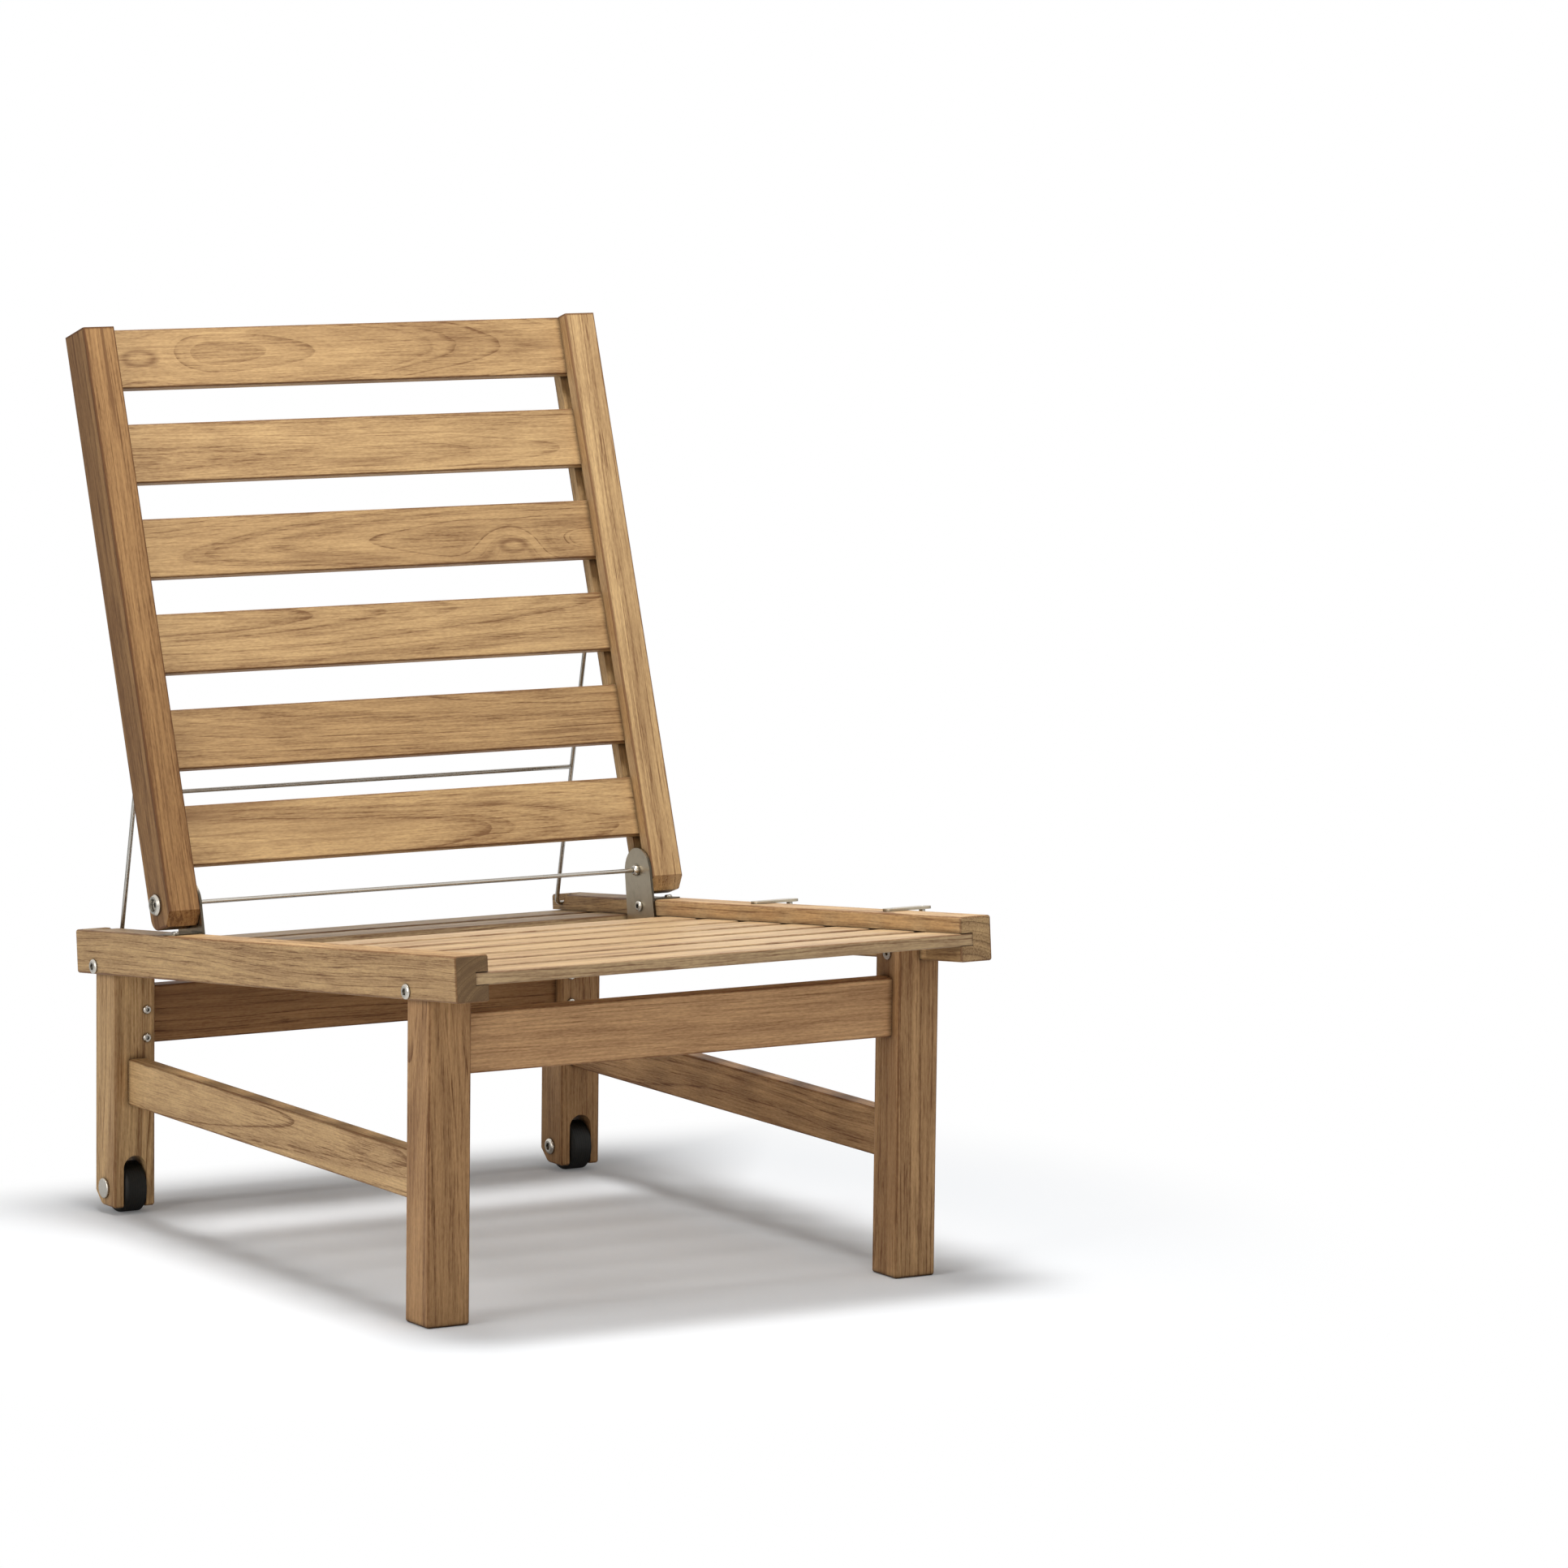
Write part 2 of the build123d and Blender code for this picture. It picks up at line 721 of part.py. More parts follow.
# Back slats
# Six slats across the stiles, the top one flush with the stiles' ends.
back_slat_pitch = back_slats_span / (back_slat_count - 1)
back_slat_reach = stile_inner + back_groove_depth - seat_clearance
for number in range(back_slat_count):
    with BuildPart() as back_slat:
        with BuildSketch(
            back_side_plane(
                -back_slat_reach,
                stile_reach - number * back_slat_pitch - back_slat_width / 2,
                groove_front - back_slat_thickness / 2,
            )
        ):
            RectangleRounded(back_slat_thickness, back_slat_width, arris)
        extrude(amount=2 * back_slat_reach)
    keep(back_slat.part, f"back_slat_{number + 1}")

# Hinge brackets
# A steel plate on each rail's inner face carries the back, and a flange welded to it lies let into
# the rail's top under the stile. The plate's foot reaches down between the seat slats.
plate_inner = rail_inner - bracket_thickness
bracket_holes = [((0, pivot_y, pivot_z), pivot_shank_diameter)]
bracket_holes += [(point, bracket_bolt_diameter) for point in bracket_bolt_points]
for side, word in SIDES:
    with BuildPart() as bracket:
        with BuildSketch(
            seat_side_plane(low(side, plate_inner, bracket_thickness), pivot_back, pivot_rise)
        ) as plate_outline:
            with BuildLine():
                crown_front = (-bracket_crown, -bracket_crown_drop)
                crown_rear = (bracket_crown, -bracket_crown_drop)
                ThreePointArc(crown_front, (0, bracket_crown - bracket_crown_drop), crown_rear)
                Polyline(
                    crown_rear,
                    (bracket_heel, bracket_bottom),
                    (-bracket_toe, bracket_bottom),
                    crown_front,
                )
            make_face()
            fillet(plate_outline.vertices().group_by(Axis.Y)[0], bracket_corner)
        extrude(amount=bracket_thickness)
        with BuildSketch(
            seat_top_plane(
                side * (plate_inner + (flange_reach + bracket_thickness) / 2),
                flange_front + flange_length / 2,
                -flange_let_in,
            )
        ):
            Rectangle(flange_reach + bracket_thickness, flange_length)
        extrude(amount=bracket_thickness)
        square_to_seat = Axis((0, 0, 0), (0, slope_sin, slope_cos))
        flange_corners = bracket.edges().filter_by(square_to_seat).group_by(Axis.X)
        fillet(flange_corners[-1 if side > 0 else 0], bracket_corner)
        for point, diameter in bracket_holes:
            round_bore(
                facing_in(side, plate_inner, point),
                diameter + 2 * running_clearance,
                bracket_thickness + overrun,
            )
        round_bore(
            seat_top_plane(side * flange_screw_x, flange_screw_along, bracket_thickness - flange_let_in),
            flange_screw_diameter + 2 * running_clearance,
            bracket_thickness + overrun,
        )
    keep(bracket.part, f"hinge_bracket_{word}")

with BuildPart() as bracket_bolts:
    for side, _ in SIDES:
        for point in bracket_bolt_points:
            socket_screw(
                facing_in(side, plate_inner, point),
                bracket_bolt_head_diameter,
                bracket_bolt_head_height,
                bracket_bolt_diameter,
                bracket_bolt_length,
            )
keep(bracket_bolts.part, "hinge_bracket_bolts")

with BuildPart() as flange_screws:
    for side, _ in SIDES:
        socket_screw(
            seat_top_plane(side * flange_screw_x, flange_screw_along, bracket_thickness - flange_let_in),
            flange_screw_head_diameter,
            flange_screw_head_height,
            flange_screw_diameter,
            flange_screw_length,
        )
keep(flange_screws.part, "hinge_flange_screws")

# Back pivots
# A bolt with a wide cupped head through each stile and bracket, and a steel rod across the seat
# between them. A domed collar on the bracket's inner face holds each end of the rod.
pivot_point = (0, pivot_y, pivot_z)
pivot_head_distance = stile_outer + seat_clearance
for side, word in SIDES:
    pivot_plane = facing_out(side, pivot_head_distance, pivot_point)
    with BuildPart() as pivot_bolt:
        turned(
            pivot_plane,
            (
                (0, plate_inner - pivot_head_distance),
                (pivot_shank_diameter / 2, plate_inner - pivot_head_distance),
                (pivot_shank_diameter / 2, 0),
                (pivot_head_diameter / 2, 0),
                (pivot_head_diameter / 2, pivot_rim_height),
                (pivot_crown_diameter / 2, pivot_head_height),
                (pivot_recess_diameter / 2, pivot_head_height),
                (pivot_recess_diameter / 2, pivot_head_height - pivot_recess_depth),
                (0, pivot_head_height - pivot_recess_depth),
            ),
        )
        hexagon_socket(
            pivot_plane.offset(pivot_head_height - pivot_recess_depth),
            pivot_key_diameter,
            pivot_key_depth,
        )
    keep(pivot_bolt.part, f"pivot_bolt_{word}")

with BuildPart() as hinge_rod:
    with BuildSketch(facing_out(1, -plate_inner + seat_clearance, pivot_point)):
        Circle(hinge_rod_diameter / 2)
    extrude(amount=2 * (plate_inner - seat_clearance))
keep(hinge_rod.part, "hinge_rod")

collar_bore = hinge_rod_diameter / 2 + running_clearance
collar_rim = collar_height * rim_share
collar_crown = collar_bore + hinge_rod_diameter * crown_share / 2
for side, word in SIDES:
    collar_plane = facing_in(side, plate_inner, pivot_point)
    with BuildPart() as collar:
        with BuildSketch(Plane(collar_plane.origin, x_dir=collar_plane.x_dir, z_dir=-collar_plane.y_dir)):
            with BuildLine():
                Polyline(
                    (collar_crown, collar_height),
                    (collar_bore, collar_height),
                    (collar_bore, 0),
                    (collar_diameter / 2, 0),
                    (collar_diameter / 2, collar_rim),
                )
                SagittaArc(
                    (collar_diameter / 2, collar_rim),
                    (collar_crown, collar_height),
                    -collar_rim * dome_bulge_share,
                )
            make_face()
        revolve(axis=Axis(collar_plane.origin, collar_plane.z_dir))
    keep(collar.part, f"rod_collar_{word}")

# Prop frame
# Two bent wires and a welded crossbar. Each wire's upper end turns out into its stile and its
# lower end turns out to stand in the rail's notch.
for side, word in SIDES:
    hinge_tip = side * (stile_inner + prop_pin_depth)
    foot_tip = side * (rail_inner + prop_foot_pin_depth)
    wire_x = side * prop_half_width
    with BuildPart() as wire:
        with BuildLine() as route:
            FilletPolyline(
                (hinge_tip, prop_hinge[1], prop_hinge[2]),
                (wire_x, prop_hinge[1], prop_hinge[2]),
                (wire_x, prop_foot[1], prop_foot[2]),
                (foot_tip, prop_foot[1], prop_foot[2]),
                radius=prop_bend_radius,
            )
        with BuildSketch(Plane(route.line @ 0, z_dir=route.line % 0)):
            Circle(wire_radius)
        sweep()
    keep(wire.part, f"prop_wire_{word}")

with BuildPart() as prop_bar:
    with BuildSketch(
        facing_out(
            1,
            wire_radius - prop_half_width,
            (
                0,
                prop_hinge[1] + prop_bar_reach * prop_lean_sin,
                prop_hinge[2] - prop_bar_reach * prop_lean_cos,
            ),
        )
    ):
        Circle(wire_radius)
    extrude(amount=2 * (prop_half_width - wire_radius))
keep(prop_bar.part, "prop_crossbar")

# Wheels
# A rubber tyre on a hub with a raised rim and boss, running on a bolt across the rear leg's fork.
half_wheel = wheel_width / 2
hub_radius = hub_diameter / 2
for side, word in SIDES:
    wheel_plane = Plane(
        (side * (half_frame - leg_width / 2), axle_point[1], axle_point[2]),
        x_dir=(0, 1, 0),
        z_dir=(0, 0, 1),
    )
    wheel_axis = Axis(wheel_plane.origin, (1, 0, 0))
    with BuildPart() as tyre:
        with BuildSketch(wheel_plane) as tyre_section:
            with Locations(((wheel_radius + hub_radius + running_clearance) / 2, 0)):
                Rectangle(wheel_radius - hub_radius - running_clearance, wheel_width)
            fillet(tyre_section.vertices().group_by(Axis.Y)[-1], wheel_shoulder)
        revolve(axis=wheel_axis)
    keep(tyre.part, f"wheel_tyre_{word}")

    with BuildPart() as hub:
        with BuildSketch(wheel_plane):
            with BuildLine():
                bore = axle_diameter / 2 + running_clearance
                boss = bore + hub_rim
                web = half_wheel - hub_recess
                Polyline(
                    (bore, half_wheel),
                    (boss, half_wheel),
                    (boss, web),
                    (hub_radius - hub_rim, web),
                    (hub_radius - hub_rim, half_wheel),
                    (hub_radius, half_wheel),
                    (hub_radius, -half_wheel),
                    (hub_radius - hub_rim, -half_wheel),
                    (hub_radius - hub_rim, -web),
                    (boss, -web),
                    (boss, -half_wheel),
                    (bore, -half_wheel),
                    close=True,
                )
            make_face()
        revolve(axis=wheel_axis)
    keep(hub.part, f"wheel_hub_{word}")

axle_tip = half_frame - 2 * running_clearance
with BuildPart() as axle_bolts:
    for side, _ in SIDES:
        socket_screw(
            facing_in(side, leg_inner, axle_point),
            axle_head_diameter,
            axle_head_height,
            axle_diameter,
            axle_tip - leg_inner,
        )
keep(axle_bolts.part, "axle_bolts")

cap_boss_length = (leg_width - wheel_slot_width) / 2 - seat_clearance
with BuildPart() as axle_caps:
    for side, _ in SIDES:
        cap_plane = facing_out(side, half_frame, axle_point)
        with BuildSketch(cap_plane):
            Circle(axle_cap_diameter / 2)
        extrude(amount=axle_cap_height)
        with BuildSketch(cap_plane):
            Circle(axle_cap_boss_diameter / 2)
            Circle(axle_diameter / 2 + running_clearance, mode=Mode.SUBTRACT)
        extrude(amount=-cap_boss_length)
    cap_rims = axle_caps.edges().filter_by(GeomType.CIRCLE).group_by(Axis.X)
    fillet(cap_rims[0] + cap_rims[-1], axle_cap_height * rim_share)
keep(axle_caps.part, "axle_caps")

# Rail bolts and sleeve nuts
# One bolt clamps each rail to each leg's tongue and runs into a flanged sleeve nut in the tongue.
with BuildPart() as rail_bolts:
    for side, _ in SIDES:
        for point in rail_bolt_points:
            socket_screw(
                facing_out(side, rail_outer, point),
                rail_bolt_head_diameter,
                rail_bolt_head_height,
                rail_bolt_diameter,
                rail_outer - leg_inner,
            )
keep(rail_bolts.part, "rail_bolts")

with BuildPart() as sleeve_nuts:
    for side, _ in SIDES:
        for point in rail_bolt_points:
            nut_plane = facing_in(side, leg_inner, point)
            with BuildSketch(nut_plane):
                Circle(sleeve_flange_diameter / 2)
            extrude(amount=sleeve_flange_height)
            with BuildSketch(nut_plane):
                Circle(sleeve_diameter / 2)
            extrude(amount=seat_clearance - leg_lap)
            with BuildSketch(nut_plane.offset(sleeve_flange_height)):
                Circle(rail_bolt_diameter / 2 + running_clearance)
            extrude(amount=-leg_lap - sleeve_flange_height, mode=Mode.SUBTRACT)
keep(sleeve_nuts.part, "rail_sleeve_nuts")

# Link plates
# Each lies on the right rail under one flush screw and carries a peg that drops into the left rail
# of a chair standing beside this one. The peg's neck is set into the plate from above, and its
# shoulder stops under it.
for (end, _), along in zip(ENDS, link_alongs):
    with BuildPart() as link_plate:
        with BuildSketch(seat_top_plane((link_screw_x + link_peg_x) / 2, along, 0)):
            SlotOverall(link_length, link_width)
        extrude(amount=link_thickness)
        for x in (link_screw_x, link_peg_x):
            plate_top = seat_top_plane(x, along, link_thickness)
            round_bore(
                plate_top, link_screw_diameter + 2 * running_clearance, link_thickness + overrun
            )
            sunk_head(plate_top, running_clearance, Mode.SUBTRACT)
    keep(link_plate.part, f"link_plate_{end}")

with BuildPart() as link_screws:
    for along in link_alongs:
        screw_top = seat_top_plane(link_screw_x, along, link_thickness)
        sunk_head(screw_top, 0)
        with BuildSketch(screw_top):
            Circle(link_screw_diameter / 2)
        extrude(amount=-link_screw_length)
        hexagon_socket(screw_top, link_key_diameter, link_key_depth)
keep(link_screws.part, "link_screws")

with BuildPart() as link_pegs:
    for along in link_alongs:
        peg_top = seat_top_plane(link_peg_x, along, link_thickness)
        sunk_head(peg_top, 0)
        with BuildSketch(peg_top):
            Circle(link_screw_diameter / 2)
        extrude(amount=-link_thickness)
        with BuildSketch(seat_top_plane(link_peg_x, along, 0)):
            Circle(link_peg_diameter / 2)
        extrude(amount=-link_peg_length)
keep(link_pegs.part, "link_pegs")
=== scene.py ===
"""Looks of a low teak lounge chair without arms, whose slatted back folds over the seat.

The chair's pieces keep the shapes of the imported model. This script gives each of them its finish,
and sets up the floor, the light and the camera. Metres, +Z up, the sitter faces -Y.
"""

import random
from math import cos, radians, sin
from typing import NamedTuple

import bpy
from bpy.props import FloatProperty, FloatVectorProperty, PointerProperty
from mathutils import Matrix, Vector

bl_info = {
    "name": "Teak lounge chair",
    "version": (1, 0, 0),
    "blender": (4, 5, 0),
    "location": "View3D > Sidebar > Lounge chair",
    "description": "Finishes a folding teak lounge chair and sets up its studio",
    "category": "Add Mesh",
}

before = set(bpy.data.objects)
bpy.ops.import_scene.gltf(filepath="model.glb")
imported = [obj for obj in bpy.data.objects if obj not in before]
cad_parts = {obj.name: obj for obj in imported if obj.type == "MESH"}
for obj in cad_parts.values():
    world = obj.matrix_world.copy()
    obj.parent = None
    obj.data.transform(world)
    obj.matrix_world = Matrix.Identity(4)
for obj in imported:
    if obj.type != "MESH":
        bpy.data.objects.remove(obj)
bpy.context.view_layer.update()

# Directions of the chair
SEAT_SLOPE = radians(5.74)
RECLINE = radians(18.7)
ACROSS = Vector((1, 0, 0))
REARWARD = Vector((0, 1, 0))
UPRIGHT = Vector((0, 0, 1))
DOWN_SEAT = Vector((0, cos(SEAT_SLOPE), -sin(SEAT_SLOPE)))
OFF_SEAT = Vector((0, sin(SEAT_SLOPE), cos(SEAT_SLOPE)))
UP_BACK = Vector((0, sin(RECLINE), cos(RECLINE)))
OFF_BACK = Vector((0, -cos(RECLINE), sin(RECLINE)))

# Axes of each kind of board: along its grain, to its side and in its depth
RAIL_AXES = (DOWN_SEAT, OFF_SEAT, ACROSS)
SEAT_SLAT_AXES = (ACROSS, DOWN_SEAT, OFF_SEAT)
LEG_AXES = (UPRIGHT, ACROSS, REARWARD)
APRON_AXES = (ACROSS, UPRIGHT, REARWARD)
STRETCHER_AXES = (REARWARD, UPRIGHT, ACROSS)
STILE_AXES = (UP_BACK, ACROSS, OFF_BACK)
BACK_SLAT_AXES = (ACROSS, UP_BACK, OFF_BACK)

SIDES = ("left", "right")
SEAT_SLATS = 9


def colour(name, description, default):
    """One colour property."""
    return FloatVectorProperty(
        name=name, description=description, default=default, subtype="COLOR", size=3, min=0, max=1
    )


def distance(name, description, default):
    """One length property in metres."""
    return FloatProperty(
        name=name, description=description, default=default, unit="LENGTH", min=0, precision=4
    )


def share(name, description, default):
    """One property from nothing to all."""
    return FloatProperty(
        name=name, description=description, default=default, subtype="FACTOR", min=0, max=1
    )


def angle(name, description, degrees):
    """One angle property."""
    return FloatProperty(
        name=name, description=description, default=radians(degrees), subtype="ANGLE"
    )


def power(name, description, watts):
    """One lamp's power."""
    return FloatProperty(name=name, description=description, default=watts, unit="POWER", min=0)


class TeakSettings(bpy.types.PropertyGroup):
    """Colours and figure of the teak."""

    early: colour("Early wood", "Pale wood between the growth lines", (0.645, 0.422, 0.201))
    weathered: colour("Weathered wood", "Pale wood that sun and rain have greyed", (0.62, 0.475, 0.28))
    late: colour("Late wood", "Growth lines and fibres", (0.190, 0.092, 0.036))
    streak: colour("Streak", "Broad darker streaks", (0.190, 0.092, 0.038))
    end: colour("End grain", "Sawn ends", (0.150, 0.088, 0.042))
    spacing: distance("Growth lines", "Distance between growth lines", 0.0030)
    wander: distance("Wander", "How far the growth lines wander along a board", 0.014)
    roughness: share("Roughness", "Roughness of the oiled surface", 0.50)
    relief: distance("Relief", "Depth of the open grain", 0.00025)


class SteelSettings(bpy.types.PropertyGroup):
    """Stainless steel of the fittings."""

    plate: colour("Plate", "Sheet of the brackets and link plates", (0.53, 0.45, 0.33))
    bright: colour("Bright", "Wire and rod", (0.50, 0.47, 0.42))
    bolt: colour("Bolt", "Heads of bolts and screws", (0.60, 0.56, 0.49))
    roughness: share("Roughness", "Roughness of the brushed sheet", 0.20)
    polish: share("Polish", "Roughness of wire and bolt heads", 0.16)


class WheelSettings(bpy.types.PropertyGroup):
    """Rubber and plastic of the wheels."""

    rubber: colour("Rubber", "Tyre", (0.004, 0.0035, 0.002))
    plastic: colour("Plastic", "Hub", (0.03, 0.03, 0.03))
    rib: distance("Rib", "Distance between the tyre's moulded ribs", 0.003)


class StudioSettings(bpy.types.PropertyGroup):
    """Camera, lamps and floor."""

    heading: angle("Heading", "Way the camera faces, clockwise from the chair's back", 31.668)
    dip: angle("Dip", "How far the camera looks down", 7.361)
    tilt: angle("Tilt", "Turn of the camera about its line of sight", 0.698)
    place: FloatVectorProperty(
        name="Place",
        description="Where the camera stands",
        default=(-4.2056, -7.4023, 1.6244),
        subtype="TRANSLATION",
        unit="LENGTH",
    )
    lens: FloatProperty(
        name="Lens", description="Focal length of the camera", default=175.66, unit="CAMERA", min=1
    )
    key: power("Key", "Power of the soft lamp overhead", 106)
    side: power("Side", "Power of the soft lamp at the left", 49)
    front: power("Front", "Power of the soft lamp in front", 20)
    room: share("Room", "Strength of the light from all round", 0.20)
    floor: colour("Floor", "Pale floor", (0.768, 0.785, 0.803))
    lift: share("Lift", "Brightness that the camera adds to the floor", 0.08)


class ChairSettings(bpy.types.PropertyGroup):
    """All settings of the chair and its studio."""

    teak: PointerProperty(type=TeakSettings)
    steel: PointerProperty(type=SteelSettings)
    wheel: PointerProperty(type=WheelSettings)
    studio: PointerProperty(type=StudioSettings)


def place_node(tree, kind, values=None, **settings):
    """Adds a node and fills its sockets from other sockets or from plain values."""
    node = tree.nodes.new(kind)
    for name, value in settings.items():
        setattr(node, name, value)
    for socket, value in (values or {}).items():
        if isinstance(value, bpy.types.NodeSocket):
            tree.links.new(value, node.inputs[socket])
        else:
            node.inputs[socket].default_value = value
    return node


def work_out(tree, operation, *values, clamp=False):
    """Result of a math node."""
    node = place_node(tree, "ShaderNodeMath", dict(enumerate(values)), operation=operation)
    node.use_clamp = clamp
    return node.outputs[0]


def combine(tree, operation, *vectors):
    """Vector that a vector math node gives."""
    values = dict(enumerate(vectors))
    return place_node(tree, "ShaderNodeVectorMath", values, operation=operation).outputs["Vector"]


def measure(tree, operation, *vectors):
    """Number that a vector math node gives."""
    values = dict(enumerate(vectors))
    return place_node(tree, "ShaderNodeVectorMath", values, operation=operation).outputs["Value"]


def point(tree, x, y, z):
    """Vector made of three values."""
    return place_node(tree, "ShaderNodeCombineXYZ", {0: x, 1: y, 2: z}).outputs[0]


def split(tree, vector):
    """The three values of a vector."""
    return place_node(tree, "ShaderNodeSeparateXYZ", {0: vector}).outputs


def noise(tree, where, scale, detail=2.0, roughness=0.5, kind="3D"):
    """Noise value at a vector, or along a line where the kind is 1D."""
    socket = "W" if kind == "1D" else "Vector"
    values = {socket: where, "Scale": scale, "Detail": detail, "Roughness": roughness}
    return place_node(tree, "ShaderNodeTexNoise", values, noise_dimensions=kind).outputs[0]


def rise_between(tree, value, low, high):
    """Smooth rise from nothing at low to all at high."""
    values = {"Value": value, "From Min": low, "From Max": high, "To Min": 0.0, "To Max": 1.0}
    node = place_node(tree, "ShaderNodeMapRange", values, interpolation_type="SMOOTHSTEP")
    return node.outputs[0]


def drop_between(tree, value, low, high):
    """Smooth drop from all at low to nothing at high."""
    return work_out(tree, "SUBTRACT", 1.0, rise_between(tree, value, low, high))


# Places of the colour sockets of a mix node, whose names repeat for each type
MIX_SHARE, MIX_FIRST, MIX_SECOND = 0, 6, 7
MIX_RESULT = 2


def blend_colours(tree, share_of_second, first, second, way="MIX"):
    """Mix of two colours."""
    values = {MIX_SHARE: share_of_second, MIX_FIRST: first, MIX_SECOND: second}
    node = place_node(tree, "ShaderNodeMix", values, data_type="RGBA", blend_type=way)
    return node.outputs[MIX_RESULT]


VECTOR = "NodeSocketVector"
FLOAT = "NodeSocketFloat"
COLOUR = "NodeSocketColor"

# What each of the three groups gives to its material
FINISH = (("Color", COLOUR), ("Roughness", FLOAT), ("Height", FLOAT))


def start_group(name, inputs, outputs):
    """Empty shader group with named sockets, and its input and output sockets by name."""
    group = bpy.data.node_groups.new(name, "ShaderNodeTree")
    for socket, kind, default in inputs:
        made = group.interface.new_socket(socket, in_out="INPUT", socket_type=kind)
        made.default_value = default
    for socket, kind in outputs:
        group.interface.new_socket(socket, in_out="OUTPUT", socket_type=kind)
    entry = group.nodes.new("NodeGroupInput")
    exit_node = group.nodes.new("NodeGroupOutput")
    return group, entry.outputs, exit_node.inputs


class Pattern(NamedTuple):
    """Noise that is drawn out along a board."""

    along: float  # repeats in a metre along the grain
    across: float  # repeats in a metre across the grain
    detail: float
    roughness: float = 0.5
    low: float = 0.0  # noise value at which the mark starts to show
    high: float = 1.0  # noise value at which it shows in full
    weight: float = 1.0  # its part in the sum that it goes into


SWING = Pattern(along=1.7, across=5.0, detail=1.5, weight=4.0)
RIPPLE = Pattern(along=14.0, across=60.0, detail=2.0, weight=0.0014)
FIBRE = Pattern(along=16.0, across=460.0, detail=3.0, roughness=0.65, low=0.34, high=0.66, weight=0.25)
PORE = Pattern(along=24.0, across=620.0, detail=2.0, roughness=0.6, low=0.52, high=0.72, weight=0.52)
GRIT = Pattern(along=160.0, across=620.0, detail=1.0, low=0.30, high=0.70, weight=0.18)
CLOUD = Pattern(along=9.0, across=28.0, detail=2.0, low=0.36, high=0.64, weight=0.13)
BROAD_STREAK = Pattern(along=1.1, across=26.0, detail=2.5, low=0.50, high=0.78)
VEIN = Pattern(along=2.2, across=130.0, detail=1.0, low=0.60, high=0.74, weight=0.8)
SAWN_PORE = Pattern(along=0.0, across=900.0, detail=2.0, roughness=0.7, low=0.46, high=0.66)


class Rhythm(NamedTuple):
    """Noise that runs outward from one growth line to the next."""

    rate: float  # repeats in one step outward
    detail: float
    roughness: float = 0.5
    low: float = 0.0  # the rest is as in a pattern
    high: float = 1.0
    weight: float = 1.0


UNEVEN_LINES = Rhythm(rate=0.37, detail=1.0, weight=1.9)
STRONG_LINES = Rhythm(rate=0.83, detail=0.0, low=0.36, high=0.80)
BANDS = Rhythm(rate=1.0, detail=4.0, roughness=0.62, low=0.36, high=0.70, weight=0.26)
BANDS_IN_A_METRE = 75.0

# Where between two growth lines the late wood starts and where it is darkest
LATE_WOOD_START = 0.45
LATE_WOOD_PEAK = 0.94

# A growth line's strength on the dark fibres and between them
LINE_ON_FIBRES = 0.62
LINE_ANYWHERE = 0.14

# How far a pore shows in dark bands and outside them
PORE_IN_BANDS = 0.65
PORE_ANYWHERE = 0.35

# A knot's flattened shape, how far it pushes the lines, and its dark rim
KNOT_SHAPE = (0.45, 1.0, 0.25)
KNOT_REACH = 4.0
KNOT_PUSH = 1.6
KNOT_RIM_START, KNOT_RIM_PEAK, KNOT_RIM_END = 0.05, 0.45, 0.95
KNOT_ON_FIBRES = 0.5
KNOT_ANYWHERE = 0.45
NO_KNOT = (9.0, 0.0, 0.0)
NO_KNOT_SIZE = 0.001

# Darker heartwood: its strength, its soft edge and how unevenly that edge runs
CORE_STRENGTH = 0.34
CORE_EDGE_INSIDE = 0.012
CORE_EDGE_OUTSIDE = 0.004
CORE_WANDER = 0.02

# Width of the painted shade along an arris, where the rounded edge turns from the light
ARRIS_SHADE_FULL = 0.0006
ARRIS_SHADE_END = 0.0030

# A face counts as sawn across where it squarely meets the grain
SAWN_START, SAWN_FULL = 0.80, 0.95
SAWN_MARKS = 0.20
SAWN_LINES = 0.50

# Painted shade in joints and corners: wood darkens where little of the space before the surface is open
WOOD_CREVICE_SHADE = (0.045, 0.024, 0.010, 1.0)
WOOD_CREVICE_SHADE_FULL, WOOD_CREVICE_SHADE_END = 0.40, 0.96
WOOD_CREVICE_SHADE_STRENGTH = 0.85
WOOD_CREVICE_SHADE_REACH = 0.007

# Roughness and height that the figure adds
FIBRE_ROUGHNESS = 0.16
EVEN_ROUGHNESS = -0.06
SAWN_ROUGHNESS = 0.12
FIBRE_HEIGHT = 0.5
PORE_DEPTH = 0.6
LINE_DEPTH = 0.35
WOOD_BUMP = 0.6


def drawn_out(tree, board, pattern, seed=0.0):
    """Noise of a pattern at a place on the board."""
    along, side, depth = board
    where = point(
        tree,
        work_out(tree, "MULTIPLY_ADD", along, pattern.along, seed),
        work_out(tree, "MULTIPLY", side, pattern.across),
        work_out(tree, "MULTIPLY", depth, pattern.across),
    )
    return noise(tree, where, 1.0, pattern.detail, pattern.roughness)


def outward(tree, place, rhythm, seed):
    """Noise of a rhythm at a place between the growth lines."""
    where = work_out(tree, "ADD", place, seed)
    return noise(tree, where, rhythm.rate, rhythm.detail, rhythm.roughness, kind="1D")


def shown(tree, value, pattern):
    """How far a pattern or a rhythm shows at a noise value."""
    return rise_between(tree, value, pattern.low, pattern.high)


def about_nothing(tree, value):
    """Noise moved down by a half, so that it swings both ways."""
    return work_out(tree, "SUBTRACT", value, 0.5)


